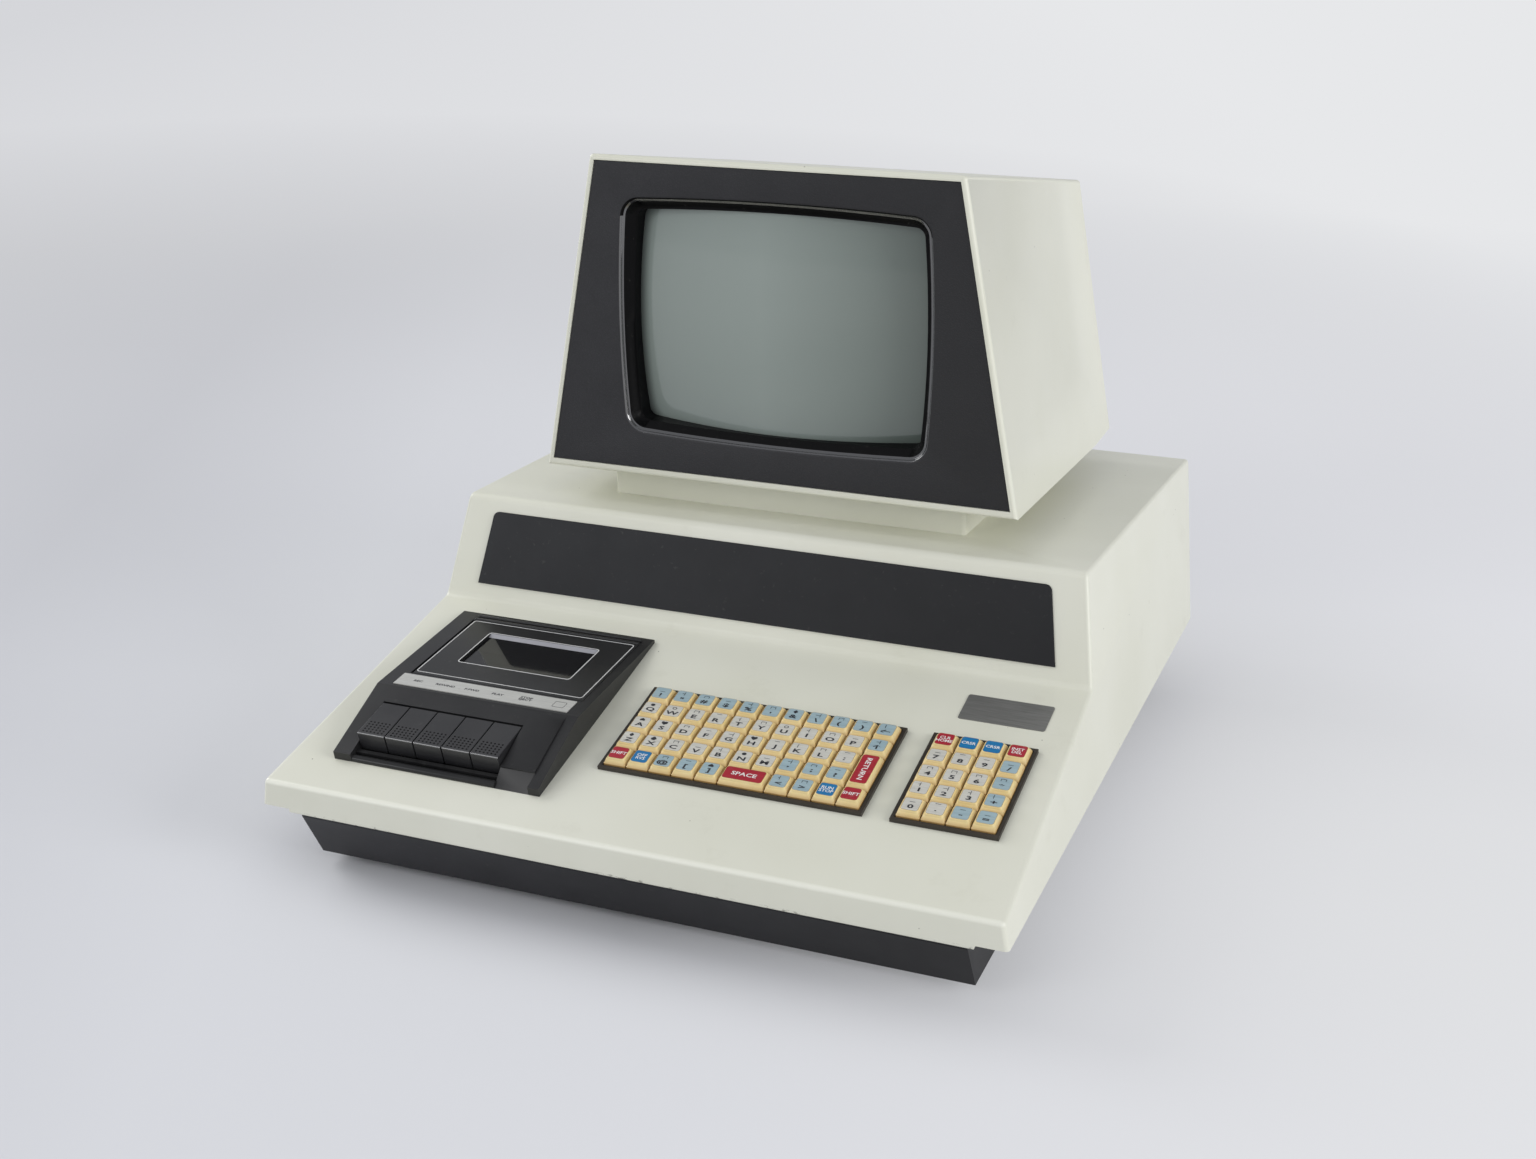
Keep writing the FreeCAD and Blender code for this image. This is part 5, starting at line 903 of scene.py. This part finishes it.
def small_sign(mesh, x, s, height, kind):
    """Small generic sign over a letter: a card suit, a bar, a cross or a frame."""
    if kind in suit_signs:
        write(mesh, deck, suit_signs[kind], suit_size, (x, s, height), dark_ink, suit_wide)
        return
    half, thick, rise = 1.5 * mm, 0.16 * mm, 0.01 * mm
    level = (kind % 5 - 2) * 0.55 * mm
    strokes = (
        ((-half, level - thick, half, level + thick),),
        ((level - thick, -half, level + thick, half), (-half, -thick, level - thick, thick)),
        ((-half, -half / 2, 2 * thick - half, half / 2), (half - 2 * thick, -half / 2, half, half / 2),
         (-half, half / 2, half, half / 2 + 2 * thick)))
    for x0, s0, x1, s1 in strokes[kind % 3]:
        bar(mesh, deck, (x + x0, s + s0, height), (x + x1, s + s1, height + rise), dark_ink)


def key_group(name, node, keys):
    """Caps of one node, which take the node's place."""
    mesh = bmesh.new()
    for key in keys:
        key_cap(mesh, *key)
    finish_piece(name, mesh, key_materials, node, (node,), slot_of(node))


def all_keys():
    columns = [column_x(keyboard_centre, main_columns, column) for column in range(main_columns)]
    for row, signs in enumerate(row_plates):
        node = "key_row_%d" % (row + 1)
        keys = [(columns[i], row_s(row), plate, suit_marks.get(plate[0], 3 * row + 7 * i))
                for i, plate in enumerate(signs) if plate]
        key_group(node + "_caps", node, keys)
    key_group("space_cap", "space_key",
              [((columns[5] + columns[6]) / 2, row_s(4), ("SPACE", "red"), 0, 2, 1)])
    key_group("return_cap", "return_key",
              [(columns[-1], (row_s(2) + row_s(3)) / 2, ("RETURN", "red"), 0, 1, 2, -math.pi / 2)])
    for column, signs in enumerate(pad_plates):
        node = "keypad_column_%d" % (column + 1)
        x = column_x(keypad_centre, pad_columns, column)
        key_group(node + "_caps", node, [(x, row_s(row), plate, 5 * row + 3 * column + 1)
                                         for row, plate in enumerate(signs)])


# Tape deck
def tape_lid():
    """Printed outlines and window bevels on the door plate, and the two ribs."""
    to_tape = tape.inverted()
    middle_x = (door_left + door_right) / 2
    middle_t = door_start + door_length / 2
    window_x = door_left + window_offset + window_width / 2
    window_t = door_start + window_start + window_length / 2
    half_x, half_t = window_width / 2, window_length / 2
    mesh = bmesh.new()
    for x, t, out_x, out_t, radius, wide, high in (
            (middle_x - 0.15 * mm, middle_t - 1 * mm, 52.6 * mm, 33.9 * mm, 2.0 * mm, 0.55 * mm,
             0.05 * mm),
            (window_x, window_t, half_x + 0.75 * mm, half_t + 0.75 * mm, 2.2 * mm, 0.55 * mm,
             0.08 * mm)):
        local = tape @ Matrix.Translation((x, t, 0))
        outer = rounded_rectangle(out_x, out_t, radius, 6)
        inner = rounded_rectangle(out_x - wide, out_t - wide, radius - 0.5 * mm, 6)
        ring_band(mesh, local, outer, inner, -0.05 * mm, high)
    finish_piece("tape_door_lines", mesh, ["line"], "door", slot="silver_foil")
    mesh = bmesh.new()
    for sign in (-1, 1):
        edge = half_t * sign
        outline = [(edge, -0.15 * mm), (edge, -1.6 * mm), (edge - sign * 2.6 * mm, -1.6 * mm)]
        profile_block(mesh, local, -half_x, half_x, outline)
    bmesh.ops.recalc_face_normals(mesh, faces=mesh.faces)
    # The rear bevel takes the light grey finish, a painted highlight; the front one stays black.
    for face in mesh.faces:
        face.material_index = 1 if (to_tape @ face.calc_center_median()).y > window_t else 0
    finish_piece("window_bevels", mesh, ["deck_black", "bevel_highlight"], "door", slot="tape_plastic")
    for name, body, t in (("door_rib", "door", 89.4 * mm), ("deck_rib", "housing", 93.6 * mm)):
        mesh = bmesh.new()
        half = 0.9 * mm
        stack(mesh, tape, (middle_x, t), [(54 * mm, half, 0.6 * mm, 0, -0.3 * mm),
                                          (54 * mm, half, 0.6 * mm, 0, 0.35 * mm),
                                          (53.6 * mm, half * 0.5, 0.4 * mm, 0, 0.75 * mm)])
        finish_piece(name, mesh, ["deck_black"], body, slot="tape_plastic", sharp=50)


def legend_strip():
    mesh = copy_of("tape_label_strip")
    low = min((tape.inverted() @ v.co).x for v in mesh.verts)
    for text, share in (("REC", 0.115), ("REWIND", 0.275), ("F.FWD", 0.43), ("PLAY", 0.58),
                        ("STOP\nEJECT", 0.74)):
        place = (low + share * strip_width, strip_middle_t, strip_top)
        write(mesh, tape, text, 2.6 * mm, place, 1, 1.2, weight=0.035)
    local = tape @ Matrix.Translation((low + 0.93 * strip_width, strip_middle_t, strip_top))
    outer = rounded_rectangle(3.6 * mm, 3.0 * mm, 1 * mm)
    inner = rounded_rectangle(3.3 * mm, 2.7 * mm, 0.8 * mm)
    ring_band(mesh, local, outer, inner, 0, 0.01 * mm, 1)
    finish_piece("legend_strip", mesh, ["strip", "dark_ink"], "housing", ("tape_label_strip",),
                 "silver_foil")


def tape_keys():
    """Piano keys with a rounded, glossy nose and a dotted grip near the front."""
    to_deck = deck.inverted()
    grip = grown(dots, columns=6, rows=5, pitch_x=2.35 * mm, pitch_y=2.1 * mm, size=grip_dot)
    for index, name in enumerate(tape_key_names):
        x0 = door_left + index * tape_key_pitch
        x1 = x0 + tape_key_pitch - tape_key_gap
        middle = (x0 + x1) / 2
        mesh = bmesh.new()
        profile = [(key_back_edge_s, tape_key_low), (key_back_edge_s, tape_key_top - 0.6 * mm),
                   (key_back_edge_s - 0.8 * mm, tape_key_top)]
        for step in range(5):
            angle = math.pi / 2 * (1 + step / 4)
            profile.append((key_front_edge_s + tape_key_nose + tape_key_nose * math.cos(angle),
                            tape_key_top - tape_key_nose + tape_key_nose * math.sin(angle)))
        profile.append((key_front_edge_s + 0.6 * mm, tape_key_low))
        profile_block(mesh, deck, x0, x1, profile)
        bar(mesh, deck, (middle - arm_half, key_back_edge_s - 0.5 * mm, arm_low),
            (middle + arm_half, arm_end_s, arm_high))
        bmesh.ops.recalc_face_normals(mesh, faces=mesh.faces)
        cap = finish_piece(name + "_cap", mesh, ["tape_key", "lip"], name, (name,), slot_of(name),
                           0.35 * mm)
        for face in cap.data.polygons:
            x, s, height = to_deck @ face.center
            if s < key_front_edge_s + tape_key_nose and height > tape_key_top - tape_key_nose:
                face.material_index = 1
        # Near-black dots on each key: painted shade for the dimples of the grip.
        mesh = bmesh.new()
        local = deck @ Matrix.Translation((middle, key_front_edge_s + 6.6 * mm, tape_key_top))
        add_mesh(mesh, grip, local, 0)
        finish_piece(name + "_grip", mesh, ["grip"], name, slot=slot_of(name))


# Picture tube
glass_half_x = 97 * mm
glass_half_z = 74.5 * mm
glass_apex = 8 * mm
glass_radius = 480 * mm
glass_skirt = 52 * mm
funnel_length = 88 * mm
neck_radius = 14 * mm
neck_length = 62 * mm


def tube_loop(half_x, half_z, power, count=96):
    points = []
    for i in range(count):
        angle = 2 * math.pi * i / count
        reach = (abs(math.cos(angle) / half_x) ** power + abs(math.sin(angle) / half_z) ** power)
        reach = reach ** (-1 / power)
        points.append((reach * math.cos(angle), reach * math.sin(angle)))
    return points


def picture_tube():
    """Domed face, skirt, cone and neck as one closed skin."""
    mesh = bmesh.new()
    rows = []
    rim = tube_loop(glass_half_x, glass_half_z, 5)
    shares = [i / 14 for i in range(1, 15)]
    centre = mesh.verts.new(screen @ Vector((0, glass_apex, 0)))
    for share in shares:
        row = []
        for x, z in rim:
            px, pz = x * share, z * share
            depth = glass_apex + glass_radius - math.sqrt(glass_radius ** 2 - px * px - pz * pz)
            row.append(mesh.verts.new(screen @ Vector((px, depth, pz))))
        rows.append((row, 0))
    for half_x, half_z, power, depth, material in (
            (glass_half_x, glass_half_z, 5, glass_skirt, 0),
            (glass_half_x * 0.84, glass_half_z * 0.86, 4, glass_skirt + funnel_length * 0.22, 1),
            (glass_half_x * 0.62, glass_half_z * 0.62, 3, glass_skirt + funnel_length * 0.5, 1),
            (glass_half_x * 0.33, glass_half_z * 0.36, 2.4, glass_skirt + funnel_length * 0.82, 1),
            (neck_radius, neck_radius, 2, glass_skirt + funnel_length, 1),
            (neck_radius, neck_radius, 2, glass_skirt + funnel_length + neck_length * 0.97, 0),
            (neck_radius * 0.8, neck_radius * 0.8, 2, glass_skirt + funnel_length + neck_length, 0)):
        loop = tube_loop(half_x, half_z, power)
        rows.append(([mesh.verts.new(screen @ Vector((x, depth, z))) for x, z in loop], material))
    count = len(rim)
    for i in range(count):
        mesh.faces.new((centre, rows[0][0][i], rows[0][0][(i + 1) % count]))
    for (front, _), (rear, material) in zip(rows, rows[1:]):
        for i in range(count):
            j = (i + 1) % count
            face = mesh.faces.new((front[i], rear[i], rear[j], front[j]))
            face.material_index = material
    mesh.faces.new(rows[-1][0])
    bmesh.ops.recalc_face_normals(mesh, faces=mesh.faces)
    finish_piece("picture_tube_skin", mesh, ["glass", "coating"], "housing", ("picture_tube",),
                 "tube_glass", sharp=50)


# Base: boards, power parts and rear fittings
def chip_legs():
    """Two rows of legs along each package, from the package boxes."""
    mesh = bmesh.new()
    packages = bmesh.new()
    packages.from_mesh(nodes["logic_chips"].data)
    bmesh.ops.remove_doubles(packages, verts=packages.verts, dist=weld)
    seen = set()
    for start in packages.verts:
        if start in seen:
            continue
        island, queue = [], [start]
        seen.add(start)
        while queue:
            vert = queue.pop()
            island.append(vert.co)
            for edge in vert.link_edges:
                other = edge.other_vert(vert)
                if other not in seen:
                    seen.add(other)
                    queue.append(other)
        low = Vector([min(c[i] for c in island) for i in range(3)])
        high = Vector([max(c[i] for c in island) for i in range(3)])
        size = high - low
        long_y = size.y > size.x
        count = max(2, int((size.y if long_y else size.x) / leg_pitch))
        legs = grown(pins, columns=2 if long_y else count, rows=count if long_y else 2,
                     pitch_x=(size.x + leg_spread) if long_y else leg_pitch,
                     pitch_y=leg_pitch if long_y else (size.y + leg_spread),
                     size=(leg_thick, leg_wide, leg_tall) if long_y else (leg_wide, leg_thick, leg_tall))
        middle = (low + high) / 2
        add_mesh(mesh, legs, Matrix.Translation((middle.x, middle.y, low.z + leg_tall / 2)), 0)
    packages.free()
    finish_piece("chip_legs", mesh, ["zinc"], "base", slot="zinc_steel")


def board_trim():
    """Gold fingers on the three card edges and small parts between the packages."""
    low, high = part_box("main_board")
    mesh = bmesh.new()
    for left, width in card_edges:
        strip = grown(fingers, columns=int(width / finger_pitch), rows=1, pitch_x=finger_pitch,
                      pitch_y=1 * mm, size=finger_size)
        add_mesh(mesh, strip, Matrix.Translation((left + width / 2, high.y - 4.5 * mm, high.z)), 0)
    finish_piece("edge_fingers", mesh, ["gold"], "base", slot="zinc_steel")
    mesh = bmesh.new()
    rng = random.Random(7)
    for row in range(5):
        for column in range(9):
            x = low.x + 24 * mm + column * 23.2 * mm + rng.uniform(-2, 2) * mm
            y = low.y + 54 * mm + row * 36.5 * mm
            if rng.random() < 0.35:
                continue
            local = Matrix.Translation((x, y, high.z + 1.1 * mm)) @ Matrix.Rotation(math.pi / 2, 4, "Y")
            outlines = [([(radius * math.cos(angle), radius * math.sin(angle)) for angle in turns], height)
                        for radius, height in resistor]
            shell(mesh, local, outlines, rng.choice((0, 0, 1)))
    finish_piece("board_resistors", mesh, ["tape_wrap", "copper"], "base", slot="laminations")


def transformer():
    low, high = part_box("transformer")
    middle = (low + high) / 2
    packed = finish_piece("transformer_skin", copy_of("transformer"), ["core", "tape_wrap"], "base",
                          ("transformer",), "laminations", 0.4 * mm)
    for face in packed.data.polygons:
        inside = abs(face.center.x - middle.x) < coil_half_x
        if inside and abs(face.center.y - middle.y) > core_half_y:
            face.material_index = 1


# Studio
def camera():
    data = bpy.data.cameras.new("view")
    data.sensor_width = sensor_width
    data.lens = camera_lens
    data.clip_end = 60
    eye = in_scene("view", data)
    eye.matrix_world = (Matrix.Translation(camera_place)
                        @ Matrix.Rotation(math.radians(camera_yaw), 4, "Z")
                        @ Matrix.Rotation(math.radians(90 - camera_pitch), 4, "X")
                        @ Matrix.Rotation(math.radians(camera_roll), 4, "Z"))
    bpy.context.scene.camera = eye


def lamp(name, place, size, power, shape="DISK", target=(0, 0, 0.15)):
    data = bpy.data.lights.new(name, "AREA")
    data.shape = shape
    data.size = size
    data.energy = power
    light = in_scene(name, data)
    light.location = place
    direction = Vector(target) - Vector(place)
    light.rotation_euler = direction.to_track_quat("-Z", "Y").to_euler()


def studio():
    mesh = bmesh.new()
    bmesh.ops.create_grid(mesh, x_segments=1, y_segments=1, size=12)
    data = bpy.data.meshes.new("studio_floor")
    mesh.to_mesh(data)
    mesh.free()
    data.materials.append(paint["floor"])
    in_scene("studio_floor", data)
    world = bpy.data.worlds.new("studio")
    world.use_nodes = True
    sky = world.node_tree.nodes["Background"].inputs
    sky["Color"].default_value = srgb(232, 234, 240)
    sky["Strength"].default_value = 0.62
    bpy.context.scene.world = world
    lamp("right_light", (2.8, -0.6, 1.1), 1.6, 40)
    lamp("left_light", (-2.6, 0.3, 1.6), 1.8, 38)
    lamp("front_light", (-1.59, -2.54, 1.45), 1.6, 21, "SQUARE")
    bpy.context.scene.view_settings.view_transform = "Standard"


plain_nodes()
monitor_bezel()
all_keys()
tape_lid()
legend_strip()
tape_keys()
picture_tube()
chip_legs()
board_trim()
transformer()
camera()
studio()
